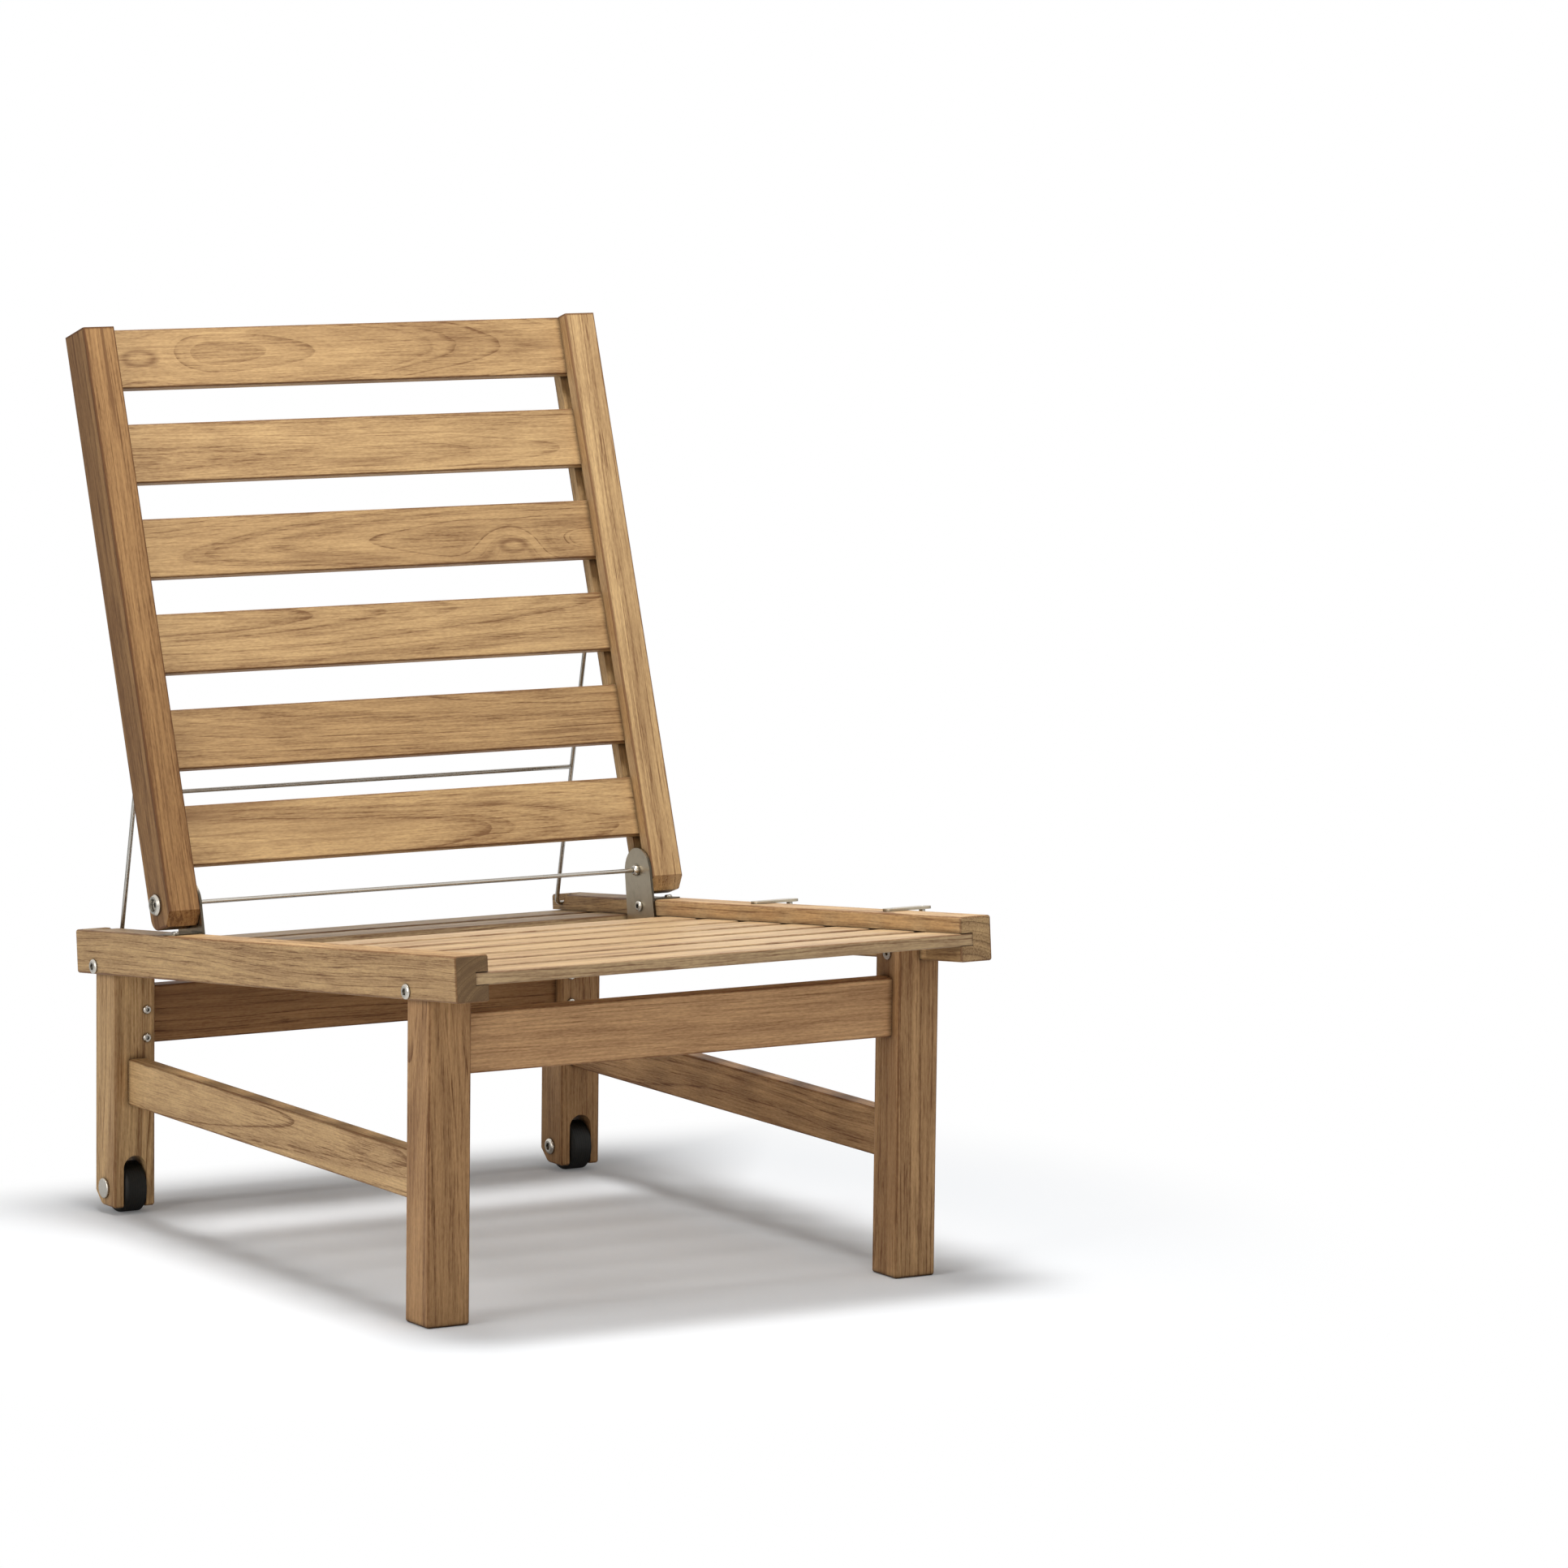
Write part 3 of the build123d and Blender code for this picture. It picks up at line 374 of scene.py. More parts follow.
def knot_shares(group, given, board):
    """How near a place is to the knot: first within its reach, then inside it."""
    to_knot = combine(group, "SUBTRACT", point(group, *board), given["Knot"])
    flattened = combine(group, "MULTIPLY", to_knot, KNOT_SHAPE)
    knot_distance = measure(group, "LENGTH", flattened)
    reach = work_out(group, "MULTIPLY", given["Knot size"], KNOT_REACH)
    near_knot = drop_between(group, knot_distance, 0.0, reach)
    in_knot = drop_between(group, knot_distance, 0.0, given["Knot size"])
    return near_knot, in_knot


def from_the_heart(group, given, board, near_knot):
    """The place as seen from the wandering heart line, and its distance from that line."""
    along, side, depth = board
    slow = about_nothing(group, drawn_out(group, board, SWING, given["Seed"]))
    swing = work_out(group, "MULTIPLY", slow, given["Wander"])
    swing = work_out(group, "MULTIPLY", swing, SWING.weight)
    quick = about_nothing(group, drawn_out(group, board, RIPPLE, given["Seed"]))
    ripple = work_out(group, "MULTIPLY", quick, RIPPLE.weight)
    heart_lean, heart_side, heart_depth = split(group, given["Heart"])
    lean = work_out(group, "MULTIPLY_ADD", along, heart_lean, ripple)
    out_side = work_out(group, "ADD", work_out(group, "SUBTRACT", side, heart_side), swing)
    out_depth = work_out(group, "ADD", work_out(group, "SUBTRACT", depth, heart_depth), lean)
    squares = [work_out(group, "MULTIPLY", way, way) for way in (out_side, out_depth)]
    radius = work_out(group, "SQRT", work_out(group, "ADD", *squares))

    # The lines swing round a knot and close up behind it
    bulge = work_out(group, "MULTIPLY", near_knot, near_knot)
    bulge = work_out(group, "MULTIPLY", bulge, given["Knot size"])
    radius = work_out(group, "MULTIPLY_ADD", bulge, KNOT_PUSH, radius)
    return (along, out_side, out_depth), radius


def growth_lines(group, given, radius):
    """Thin lines of late wood, some strong and some faint, and broader bands."""
    seed = given["Seed"]
    count = work_out(group, "DIVIDE", radius, given["Spacing"])
    uneven = outward(group, count, UNEVEN_LINES, seed)
    count = work_out(group, "MULTIPLY_ADD", uneven, UNEVEN_LINES.weight, count)
    part_way = work_out(group, "FRACT", count)
    line = work_out(
        group,
        "MULTIPLY",
        rise_between(group, part_way, LATE_WOOD_START, LATE_WOOD_PEAK),
        drop_between(group, part_way, LATE_WOOD_PEAK, 1.0),
    )
    strength = outward(group, work_out(group, "FLOOR", count), STRONG_LINES, seed)
    line = work_out(group, "MULTIPLY", line, shown(group, strength, STRONG_LINES))
    bands = outward(group, work_out(group, "MULTIPLY", radius, BANDS_IN_A_METRE), BANDS, seed)
    return line, shown(group, bands, BANDS)


def streak_share(group, given, heart_place, radius):
    """Broad streaks, thin veins and the darker heartwood within a radius of the heart line."""
    broad = drawn_out(group, heart_place, BROAD_STREAK, given["Seed"])
    streak = work_out(group, "MULTIPLY", shown(group, broad, BROAD_STREAK), given["Streaks"])
    vein = drawn_out(group, heart_place, VEIN, given["Seed"])
    vein = work_out(group, "MULTIPLY", shown(group, vein, VEIN), given["Streaks"])
    streak = work_out(group, "MULTIPLY_ADD", vein, VEIN.weight, streak, clamp=True)
    uneven_radius = work_out(group, "MULTIPLY_ADD", about_nothing(group, broad), CORE_WANDER, radius)
    inside = work_out(group, "SUBTRACT", given["Core"], CORE_EDGE_INSIDE)
    outside = work_out(group, "ADD", given["Core"], CORE_EDGE_OUTSIDE)
    core = drop_between(group, uneven_radius, inside, outside)
    return work_out(group, "MULTIPLY_ADD", core, CORE_STRENGTH, streak, clamp=True)


def arris_shade_share(group, given, board):
    """How near a place is to two of the board's edges at once, which places the painted shade along the
    arrises.
    """
    rims = []
    for place, extent in zip(board, split(group, given["Half"])):
        inside = work_out(group, "SUBTRACT", extent, work_out(group, "ABSOLUTE", place))
        rims.append(drop_between(group, inside, ARRIS_SHADE_FULL, ARRIS_SHADE_END))
    end, side, depth = rims
    long_arris = work_out(group, "MULTIPLY", side, depth)
    end_arris = work_out(group, "MULTIPLY", end, work_out(group, "MAXIMUM", side, depth))
    return work_out(group, "MAXIMUM", long_arris, end_arris)


def knot_rim(group, in_knot, torn):
    """Dark rim round the knot, broken by the fibres."""
    ring = work_out(
        group,
        "MULTIPLY",
        rise_between(group, in_knot, KNOT_RIM_START, KNOT_RIM_PEAK),
        drop_between(group, in_knot, KNOT_RIM_PEAK, KNOT_RIM_END),
    )
    broken = work_out(group, "MULTIPLY_ADD", torn, KNOT_ON_FIBRES, KNOT_ANYWHERE)
    return work_out(group, "MULTIPLY", ring, broken)


def teak_grain_group():
    """Solid teak: growth rings about a heart line, fibres, pores, streaks, a knot and end grain, with
    painted shade in joints and corners and along the arrises.
    """
    name = "Teak grain"
    if name in bpy.data.node_groups:
        return bpy.data.node_groups[name]
    inputs = (
        ("Position", VECTOR, (0, 0, 0)),
        ("Facing", VECTOR, (0, 0, 1)),
        ("Centre", VECTOR, (0, 0, 0)),
        ("Along", VECTOR, (1, 0, 0)),
        ("Side", VECTOR, (0, 1, 0)),
        ("Depth", VECTOR, (0, 0, 1)),
        ("Heart", VECTOR, (0, 0, 0)),
        ("Half", VECTOR, (1, 0.03, 0.02)),
        ("Core", FLOAT, 0.0),
        ("Open", FLOAT, 1.0),
        ("Knot", VECTOR, NO_KNOT),
        ("Knot size", FLOAT, NO_KNOT_SIZE),
        ("Seed", FLOAT, 0.0),
        ("Spacing", FLOAT, 0.003),
        ("Wander", FLOAT, 0.014),
        ("Streaks", FLOAT, 0.5),
        ("Sawn", FLOAT, 0.7),
        ("Arris shade", FLOAT, 0.5),
        ("Coarse", FLOAT, 1.0),
        ("Tint", COLOUR, (1, 1, 1, 1)),
        ("Early", COLOUR, (0.5, 0.4, 0.2, 1)),
        ("Late", COLOUR, (0.3, 0.2, 0.1, 1)),
        ("Streak", COLOUR, (0.2, 0.1, 0.1, 1)),
        ("End", COLOUR, (0.2, 0.2, 0.1, 1)),
    )
    group, given, result = start_group(name, inputs, FINISH)
    offset = combine(group, "SUBTRACT", given["Position"], given["Centre"])
    board = [measure(group, "DOT_PRODUCT", offset, given[axis]) for axis in ("Along", "Side", "Depth")]
    near_knot, in_knot = knot_shares(group, given, board)
    heart_place, radius = from_the_heart(group, given, board, near_knot)
    line, bands = growth_lines(group, given, radius)

    # Fibres and pores run with the grain
    seed = given["Seed"]
    fibre = drawn_out(group, board, FIBRE, seed)
    torn = shown(group, fibre, FIBRE)
    pore = work_out(
        group,
        "MULTIPLY",
        shown(group, drawn_out(group, board, PORE, seed), PORE),
        work_out(group, "MULTIPLY_ADD", bands, PORE_IN_BANDS, PORE_ANYWHERE),
    )
    grit = shown(group, drawn_out(group, board, GRIT), GRIT)
    cloud = shown(group, drawn_out(group, board, CLOUD, seed), CLOUD)

    # All these marks draw the late wood's colour over the early wood's
    on_fibres = work_out(group, "MULTIPLY_ADD", torn, LINE_ON_FIBRES, LINE_ANYWHERE)
    late_share = work_out(group, "MULTIPLY", line, on_fibres)
    late_share = work_out(group, "MULTIPLY_ADD", pore, PORE.weight, late_share)
    late_share = work_out(group, "MULTIPLY", late_share, given["Coarse"])
    for mark, kind in ((bands, BANDS), (torn, FIBRE), (grit, GRIT), (cloud, CLOUD)):
        late_share = work_out(group, "MULTIPLY_ADD", mark, kind.weight, late_share)
    # Painted shade along the arrises, where the rounded edges turn from the light
    arris = arris_shade_share(group, given, board)
    late_share = work_out(group, "MULTIPLY_ADD", arris, given["Arris shade"], late_share, clamp=True)
    wood = blend_colours(group, late_share, given["Early"], given["Late"])
    streak = streak_share(group, given, heart_place, radius)
    wood = blend_colours(group, streak, wood, given["Streak"])

    # Painted shade in joints and corners, the knot's rim, the sawn ends and the board's own tint go over
    # that
    crevice_shade = drop_between(group, given["Open"], WOOD_CREVICE_SHADE_FULL, WOOD_CREVICE_SHADE_END)
    crevice_shade = work_out(group, "MULTIPLY", crevice_shade, WOOD_CREVICE_SHADE_STRENGTH)
    wood = blend_colours(group, crevice_shade, wood, WOOD_CREVICE_SHADE)
    wood = blend_colours(group, knot_rim(group, in_knot, torn), wood, given["Streak"])
    face_along = measure(group, "DOT_PRODUCT", given["Facing"], given["Along"])
    sawn = rise_between(group, work_out(group, "ABSOLUTE", face_along), SAWN_START, SAWN_FULL)
    dots = shown(group, drawn_out(group, board, SAWN_PORE), SAWN_PORE)
    dots = work_out(group, "ADD", dots, bands)
    end_share = work_out(group, "MULTIPLY_ADD", dots, SAWN_MARKS, -SAWN_MARKS)
    end_share = work_out(group, "ADD", end_share, given["Sawn"])
    end_share = work_out(group, "MULTIPLY_ADD", line, SAWN_LINES, end_share, clamp=True)
    end_share = work_out(group, "MULTIPLY", sawn, end_share)
    wood = blend_colours(group, end_share, wood, given["End"])
    group.links.new(blend_colours(group, 1.0, wood, given["Tint"], way="MULTIPLY"), result["Color"])

    rough = work_out(group, "MULTIPLY_ADD", fibre, FIBRE_ROUGHNESS, EVEN_ROUGHNESS)
    rough = work_out(group, "MULTIPLY_ADD", sawn, SAWN_ROUGHNESS, rough)
    group.links.new(rough, result["Roughness"])
    sunk = work_out(group, "MULTIPLY", line, LINE_DEPTH)
    sunk = work_out(group, "MULTIPLY_ADD", pore, PORE_DEPTH, sunk)
    raised = work_out(group, "MULTIPLY", fibre, FIBRE_HEIGHT)
    group.links.new(work_out(group, "SUBTRACT", raised, sunk), result["Height"])
    return group


# Lines of brushed or drawn metal: their repeats in a metre, and the share of the way along them that
# is taken out of the noise's place, which draws them out
METAL_LINES = 2600.0
METAL_LINE_DETAIL = 2.0
METAL_LINE_FINENESS = 0.7
METAL_DRAWING = 0.985
METAL_LINE_STRENGTH = 0.12

# Faint stains on metal, and how much darker than the metal they are
METAL_STAINS = 90.0
METAL_STAIN_DETAIL = 3.0
METAL_STAIN_FINENESS = 0.6
METAL_STAIN_START, METAL_STAIN_FULL = 0.45, 0.8
METAL_STAIN_STRENGTH = 0.35
METAL_STAIN_ROUGHNESS = 0.08
STAINED_METAL = 0.55

# Painted shade in sockets and corners, and painted shade on the edges of sheet that face forward or back
METAL_CREVICE_SHADE = (0.020, 0.016, 0.012, 1.0)
METAL_CREVICE_SHADE_FULL, METAL_CREVICE_SHADE_END = 0.35, 0.90
METAL_CREVICE_SHADE_REACH = 0.004
EDGE_SHADE_METAL = (0.035, 0.028, 0.020, 1.0)
EDGE_SHADE_START, EDGE_SHADE_FULL = 0.55, 0.85
EDGE_SHADE_STRENGTH = 0.9

METAL_BUMP = 0.25
METAL_RELIEF = 0.00005


def brushed_metal_group():
    """Fine lines of brushed or drawn metal, with faint stains, painted shade in sockets and corners, and
    painted shade on sheet edges that face forward or back.
    """
    name = "Brushed metal"
    if name in bpy.data.node_groups:
        return bpy.data.node_groups[name]
    inputs = (
        ("Position", VECTOR, (0, 0, 0)),
        ("Along", VECTOR, (0, 0, 1)),
        ("Color", COLOUR, (0.6, 0.6, 0.6, 1)),
        ("Stain", COLOUR, (0.3, 0.3, 0.3, 1)),
        ("Roughness", FLOAT, 0.2),
        ("Open", FLOAT, 1.0),
        ("Normal", VECTOR, (0, 0, 1)),
        ("Shaded edge", FLOAT, 0.0),
    )
    group, given, result = start_group(name, inputs, FINISH)
    way_along = measure(group, "DOT_PRODUCT", given["Position"], given["Along"])
    squeeze = work_out(group, "MULTIPLY", way_along, -METAL_DRAWING)
    values = {0: given["Along"], "Scale": squeeze}
    shift = place_node(group, "ShaderNodeVectorMath", values, operation="SCALE").outputs["Vector"]
    stretched = combine(group, "ADD", given["Position"], shift)
    lines = noise(group, stretched, METAL_LINES, METAL_LINE_DETAIL, METAL_LINE_FINENESS)
    stains = noise(group, given["Position"], METAL_STAINS, METAL_STAIN_DETAIL, METAL_STAIN_FINENESS)
    stain_share = rise_between(group, stains, METAL_STAIN_START, METAL_STAIN_FULL)
    stain_share = work_out(group, "MULTIPLY", stain_share, METAL_STAIN_STRENGTH)
    stain_share = work_out(group, "MULTIPLY_ADD", lines, METAL_LINE_STRENGTH, stain_share)
    metal = blend_colours(group, stain_share, given["Color"], given["Stain"])
    # Painted shade in sockets and corners, where little space before the surface is open
    crevice_shade = drop_between(group, given["Open"], METAL_CREVICE_SHADE_FULL, METAL_CREVICE_SHADE_END)
    metal = blend_colours(group, crevice_shade, metal, METAL_CREVICE_SHADE)
    # Painted shade: sheet edges that face forward or back turn nearly black
    facing = work_out(group, "ABSOLUTE", measure(group, "DOT_PRODUCT", given["Normal"], REARWARD))
    edge_shade = rise_between(group, facing, EDGE_SHADE_START, EDGE_SHADE_FULL)
    edge_shade = work_out(group, "MULTIPLY", edge_shade, given["Shaded edge"])
    group.links.new(blend_colours(group, edge_shade, metal, EDGE_SHADE_METAL), result["Color"])
    rough = work_out(group, "MULTIPLY_ADD", lines, METAL_LINE_STRENGTH, given["Roughness"])
    rough = work_out(group, "MULTIPLY_ADD", stains, METAL_STAIN_ROUGHNESS, rough)
    group.links.new(rough, result["Roughness"])
    group.links.new(lines, result["Height"])
    return group


# Fine grit and clouds of dust on moulded rubber or plastic, and the ribs, which rise over one half
# of their distance and fall over the other
MOULD_GRIT = 1500.0
MOULD_GRIT_HEIGHT = 0.3
MOULD_CLOUDS = 70.0
MOULD_CLOUD_DETAIL = 4.0
MOULD_CLOUD_FINENESS = 0.65
MOULD_DUST_START, MOULD_DUST_FULL = 0.42, 0.75
MOULD_CLOUD_ROUGHNESS = 0.25
MOULD_ROUGHNESS = 0.5
RIB_HALF = 0.5
MOULD_BUMP = 0.5
MOULD_SHEEN = 0.3


def moulded_group():
    """Moulded rubber or plastic: a fine matt skin with clouds of dust, and ribs round it."""
    name = "Moulded skin"
    if name in bpy.data.node_groups:
        return bpy.data.node_groups[name]
    inputs = (
        ("Position", VECTOR, (0, 0, 0)),
        ("Color", COLOUR, (0.02, 0.02, 0.02, 1)),
        ("Dust", COLOUR, (0.16, 0.14, 0.11, 1)),
        ("Dust share", FLOAT, 0.2),
        ("Rib", FLOAT, 0.003),
    )
    group, given, result = start_group(name, inputs, FINISH)
    grit = noise(group, given["Position"], MOULD_GRIT)
    cloud = noise(group, given["Position"], MOULD_CLOUDS, MOULD_CLOUD_DETAIL, MOULD_CLOUD_FINENESS)
    dust = rise_between(group, cloud, MOULD_DUST_START, MOULD_DUST_FULL)
    dust = work_out(group, "MULTIPLY", dust, given["Dust share"])
    group.links.new(blend_colours(group, dust, given["Color"], given["Dust"]), result["Color"])
    rough = work_out(group, "MULTIPLY_ADD", cloud, MOULD_CLOUD_ROUGHNESS, MOULD_ROUGHNESS)
    group.links.new(rough, result["Roughness"])
    across, _, _ = split(group, given["Position"])
    turn = work_out(group, "DIVIDE", across, given["Rib"])
    rib = work_out(group, "PINGPONG", turn, RIB_HALF)
    height = work_out(group, "MULTIPLY_ADD", grit, MOULD_GRIT_HEIGHT, rib)
    group.links.new(height, result["Height"])
    return group


def solid(rgb):
    """Colour with full alpha."""
    return (rgb[0], rgb[1], rgb[2], 1.0)


def crevice(tree, reach):
    """How open the space within reach of the surface is, from nothing to all. The finishes paint shade
    where it is low.
    """
    node = place_node(tree, "ShaderNodeAmbientOcclusion", {"Distance": reach}, samples=4)
    return node.outputs["AO"]


def start_material(name):
    """New material, its node tree, and its Principled BSDF."""
    material = bpy.data.materials.new(name)
    material.use_nodes = True
    tree = material.node_tree
    return material, tree, tree.nodes["Principled BSDF"]


def place_skin(tree, group, values):
    """Places a group in a material, fills its sockets and ties it to the piece's own places."""
    skin = place_node(tree, "ShaderNodeGroup", node_tree=group)
    for socket, value in values:
        skin.inputs[socket].default_value = value
    places = tree.nodes.new("ShaderNodeTexCoord").outputs
    tree.links.new(places["Object"], skin.inputs["Position"])
    return skin, places


def wire_finish(tree, surface, skin, bump, relief):
    """Connects a group's colour and height to the surface."""
    tree.links.new(skin.outputs["Color"], surface.inputs["Base Color"])
    node = place_node(tree, "ShaderNodeBump", {"Strength": bump, "Distance": relief})
    tree.links.new(skin.outputs["Height"], node.inputs["Height"])
    tree.links.new(node.outputs[0], surface.inputs["Normal"])


def dress(node, material):
    """Gives a CAD piece one material on all its faces."""
    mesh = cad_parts[node].data
    mesh.materials.clear()
    mesh.materials.append(material)


def extents(node, axes):
    """Middle of a piece and its half sizes along three square axes."""
    corners = [vertex.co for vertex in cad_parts[node].data.vertices]
    middle, half = Vector(), []
    for axis in axes:
        places = [axis.dot(corner) for corner in corners]
        middle += axis * (min(places) + max(places)) / 2
        half.append((max(places) - min(places)) / 2)
    return middle, half


# What brown and red take from a board's red, green and blue
BROWN_TAKES = (0.47, 0.60, 0.70)
RED_TAKES = (0.0, 0.4, 0.4)

# How far one board differs from the next
SEED_SPREAD = (0, 40)
SPACING_SPREAD = (0.8, 1.3)
WANDER_SPREAD = (0.6, 1.4)

# Gloss of boards that lie in the chair's own shade
SHADED_SHEEN = 0.15


def teak_board(
    node, axes, heart, *, streaks, brown, core=0.0, knot=NO_KNOT, knot_size=NO_KNOT_SIZE,
    sawn=0.7, grey=0.0, sheen=0.28, red=0.0, arris=0.55, coarse=1.0
):
    """Finishes one board.

    The heart is the board's lean to its heart line and that line's place to the side and in depth.
    The heart and the knot are measured from the board's middle, along its own axes, and core is the
    radius of the darker heartwood. Brown, red and grey move its colour, and less than nothing moves
    it the other way. Streaks, sawn and coarse say how strongly these marks show, and arris how dark the
    painted shade along its arrises is.
    """
    settings = bpy.context.scene.lounge_chair.teak
    middle, half = extents(node, axes)
    along, side, depth = axes
    material, tree, surface = start_material("teak_" + node)
    dice = random.Random(node)
    tint = [1 - brown_part * brown - red_part * red for brown_part, red_part in zip(BROWN_TAKES, RED_TAKES)]
    values = (
        ("Centre", middle),
        ("Half", half),
        ("Core", core),
        ("Along", along),
        ("Side", side),
        ("Depth", depth),
        ("Heart", heart),
        ("Knot", knot),
        ("Knot size", knot_size),
        ("Seed", dice.uniform(*SEED_SPREAD)),
        ("Spacing", settings.spacing * dice.uniform(*SPACING_SPREAD)),
        ("Wander", settings.wander * dice.uniform(*WANDER_SPREAD)),
        ("Streaks", streaks),
        ("Sawn", sawn),
        ("Arris shade", arris),
        ("Coarse", coarse),
        ("Tint", solid(tint)),
        ("Early", solid(Vector(settings.early).lerp(Vector(settings.weathered), grey))),
        ("Late", solid(settings.late)),
        ("Streak", solid(settings.streak)),
        ("End", solid(settings.end)),
    )
    grain, places = place_skin(tree, teak_grain_group(), values)
    tree.links.new(places["Normal"], grain.inputs["Facing"])
    # Painted shade: joints and corners darken where little space before the surface is open
    tree.links.new(crevice(tree, WOOD_CREVICE_SHADE_REACH), grain.inputs["Open"])
    wire_finish(tree, surface, grain, WOOD_BUMP, settings.relief)
    rough = work_out(tree, "ADD", grain.outputs["Roughness"], settings.roughness)
    tree.links.new(rough, surface.inputs["Roughness"])
    surface.inputs["Specular IOR Level"].default_value = sheen
    dress(node, material)


def steel_piece(nodes, label, along, rgb, roughness, shaded_edge=0.0):
    """Finishes steel pieces whose brushing or drawing runs one way. Sheet can have painted shade on its
    edges that face forward or back.
    """
    material, tree, surface = start_material("steel_" + label)
    values = (
        ("Along", along),
        ("Color", solid(rgb)),
        ("Stain", solid([STAINED_METAL * part for part in rgb])),
        ("Roughness", roughness),
        ("Shaded edge", shaded_edge),
    )
    skin, places = place_skin(tree, brushed_metal_group(), values)
    tree.links.new(places["Normal"], skin.inputs["Normal"])
    # Painted shade in sockets and corners
    tree.links.new(crevice(tree, METAL_CREVICE_SHADE_REACH), skin.inputs["Open"])
    wire_finish(tree, surface, skin, METAL_BUMP, METAL_RELIEF)
    tree.links.new(skin.outputs["Roughness"], surface.inputs["Roughness"])
    surface.inputs["Metallic"].default_value = 1.0
    for node in nodes:
        dress(node, material)


def moulded_piece(nodes, label, rgb, dust_share, rib, depth):
    """Finishes moulded rubber or plastic pieces."""
    material, tree, surface = start_material("moulded_" + label)
    values = (("Color", solid(rgb)), ("Dust share", dust_share), ("Rib", rib))
    skin, _ = place_skin(tree, moulded_group(), values)
    wire_finish(tree, surface, skin, MOULD_BUMP, depth)
    tree.links.new(skin.outputs["Roughness"], surface.inputs["Roughness"])
    surface.inputs["Specular IOR Level"].default_value = MOULD_SHEEN
    for node in nodes:
        dress(node, material)


class LOUNGE_OT_rails(bpy.types.Operator):
    """Finish the two seat rails"""

    bl_idname = "lounge_chair.rails"
    bl_label = "Seat rails"

    def execute(self, context):
        teak_board(
            "seat_rail_left", RAIL_AXES, heart=(0.02, -0.055, 0.02),
            streaks=0.45, brown=-0.04, sawn=0.90, sheen=0.2, coarse=1.3,
        )
        teak_board(
            "seat_rail_right", RAIL_AXES, heart=(0.03, -0.08, -0.03),
            streaks=0.40, brown=-0.04, sawn=0.24, sheen=0.3, coarse=1.2,
        )
        return {"FINISHED"}


class LOUNGE_OT_seat_slats(bpy.types.Operator):
    """Finish the seat slats"""

    bl_idname = "lounge_chair.seat_slats"
    bl_label = "Seat slats"

    def execute(self, context):
        seed = 11
        lean, aside = 0.05, 0.05
        nearest, farthest = 0.025, 0.08
        dice = random.Random(seed)
        for number in range(1, SEAT_SLATS + 1):
            heart = (
                dice.uniform(-lean, lean),
                dice.uniform(-aside, aside),
                dice.choice((-1, 1)) * dice.uniform(nearest, farthest),
            )
            teak_board(
                f"seat_slat_{number}", SEAT_SLAT_AXES, heart,
                streaks=dice.uniform(0.15, 0.6), brown=dice.uniform(-0.10, 0.04),
                grey=0.40, sheen=0.45, arris=0.3,
            )
        return {"FINISHED"}


class LOUNGE_OT_legs(bpy.types.Operator):
    """Finish the four legs"""

    bl_idname = "lounge_chair.legs"
    bl_label = "Legs"

    def execute(self, context):
        teak_board(
            "front_leg_left", LEG_AXES, heart=(0.03, 0.05, 0.04),
            streaks=0.45, brown=0.40, core=0.045, red=0.10, coarse=1.2, sheen=SHADED_SHEEN,
        )
        teak_board(
            "front_leg_right", LEG_AXES, heart=(-0.02, -0.06, 0.03),
            streaks=0.40, brown=0.20, red=0.12, coarse=1.2, sheen=SHADED_SHEEN,
        )
        teak_board(
            "rear_leg_left", LEG_AXES, heart=(0.02, 0.07, -0.06),
            streaks=0.55, brown=-0.14, red=0.04, coarse=1.1, sheen=SHADED_SHEEN,
        )
        teak_board(
            "rear_leg_right", LEG_AXES, heart=(-0.02, -0.06, 0.06),
            streaks=0.55, brown=0.34, red=0.10, coarse=1.1, sheen=SHADED_SHEEN,
        )
        return {"FINISHED"}


class LOUNGE_OT_crosspieces(bpy.types.Operator):
    """Finish the aprons and the side stretchers"""

    bl_idname = "lounge_chair.crosspieces"
    bl_label = "Aprons and stretchers"

    def execute(self, context):
        teak_board(
            "front_apron", APRON_AXES, heart=(0.02, -0.035, -0.06),
            streaks=0.35, brown=-0.28, red=0.32, coarse=0.5, sheen=SHADED_SHEEN,
        )
        teak_board(
            "rear_apron", APRON_AXES, heart=(0.02, 0.045, 0.05),
            streaks=0.60, brown=0.58, red=0.10, sheen=SHADED_SHEEN,
        )
        teak_board(
            "side_stretcher_left", STRETCHER_AXES, heart=(0.03, 0.01, 0.045),
            streaks=0.35, brown=-0.22, red=0.04, coarse=1.2, sheen=SHADED_SHEEN,
        )
        teak_board(
            "side_stretcher_right", STRETCHER_AXES, heart=(0.02, -0.03, -0.05),
            streaks=0.50, brown=0.28, red=0.10, coarse=0.9, sheen=SHADED_SHEEN,
        )
        return {"FINISHED"}


class LOUNGE_OT_stiles(bpy.types.Operator):
    """Finish the two back stiles"""

    bl_idname = "lounge_chair.stiles"
    bl_label = "Back stiles"

    def execute(self, context):
        # Each stile's darker heartwood core lies towards -X, so its faces turned left come out darker: on
        # the right stile this is painted shade on its inner face, on the left stile the board's own darker
        # tone
        teak_board(
            "back_stile_left", STILE_AXES, heart=(0.012, -0.050, -0.010),
            streaks=0.90, brown=0.80, core=0.036, red=-0.04, sheen=0.2, arris=0.85,
        )
        teak_board(
            "back_stile_right", STILE_AXES, heart=(-0.012, -0.052, 0.012),
            streaks=0.40, brown=-0.02, core=0.036, red=-0.04, arris=0.85,
        )
        return {"FINISHED"}


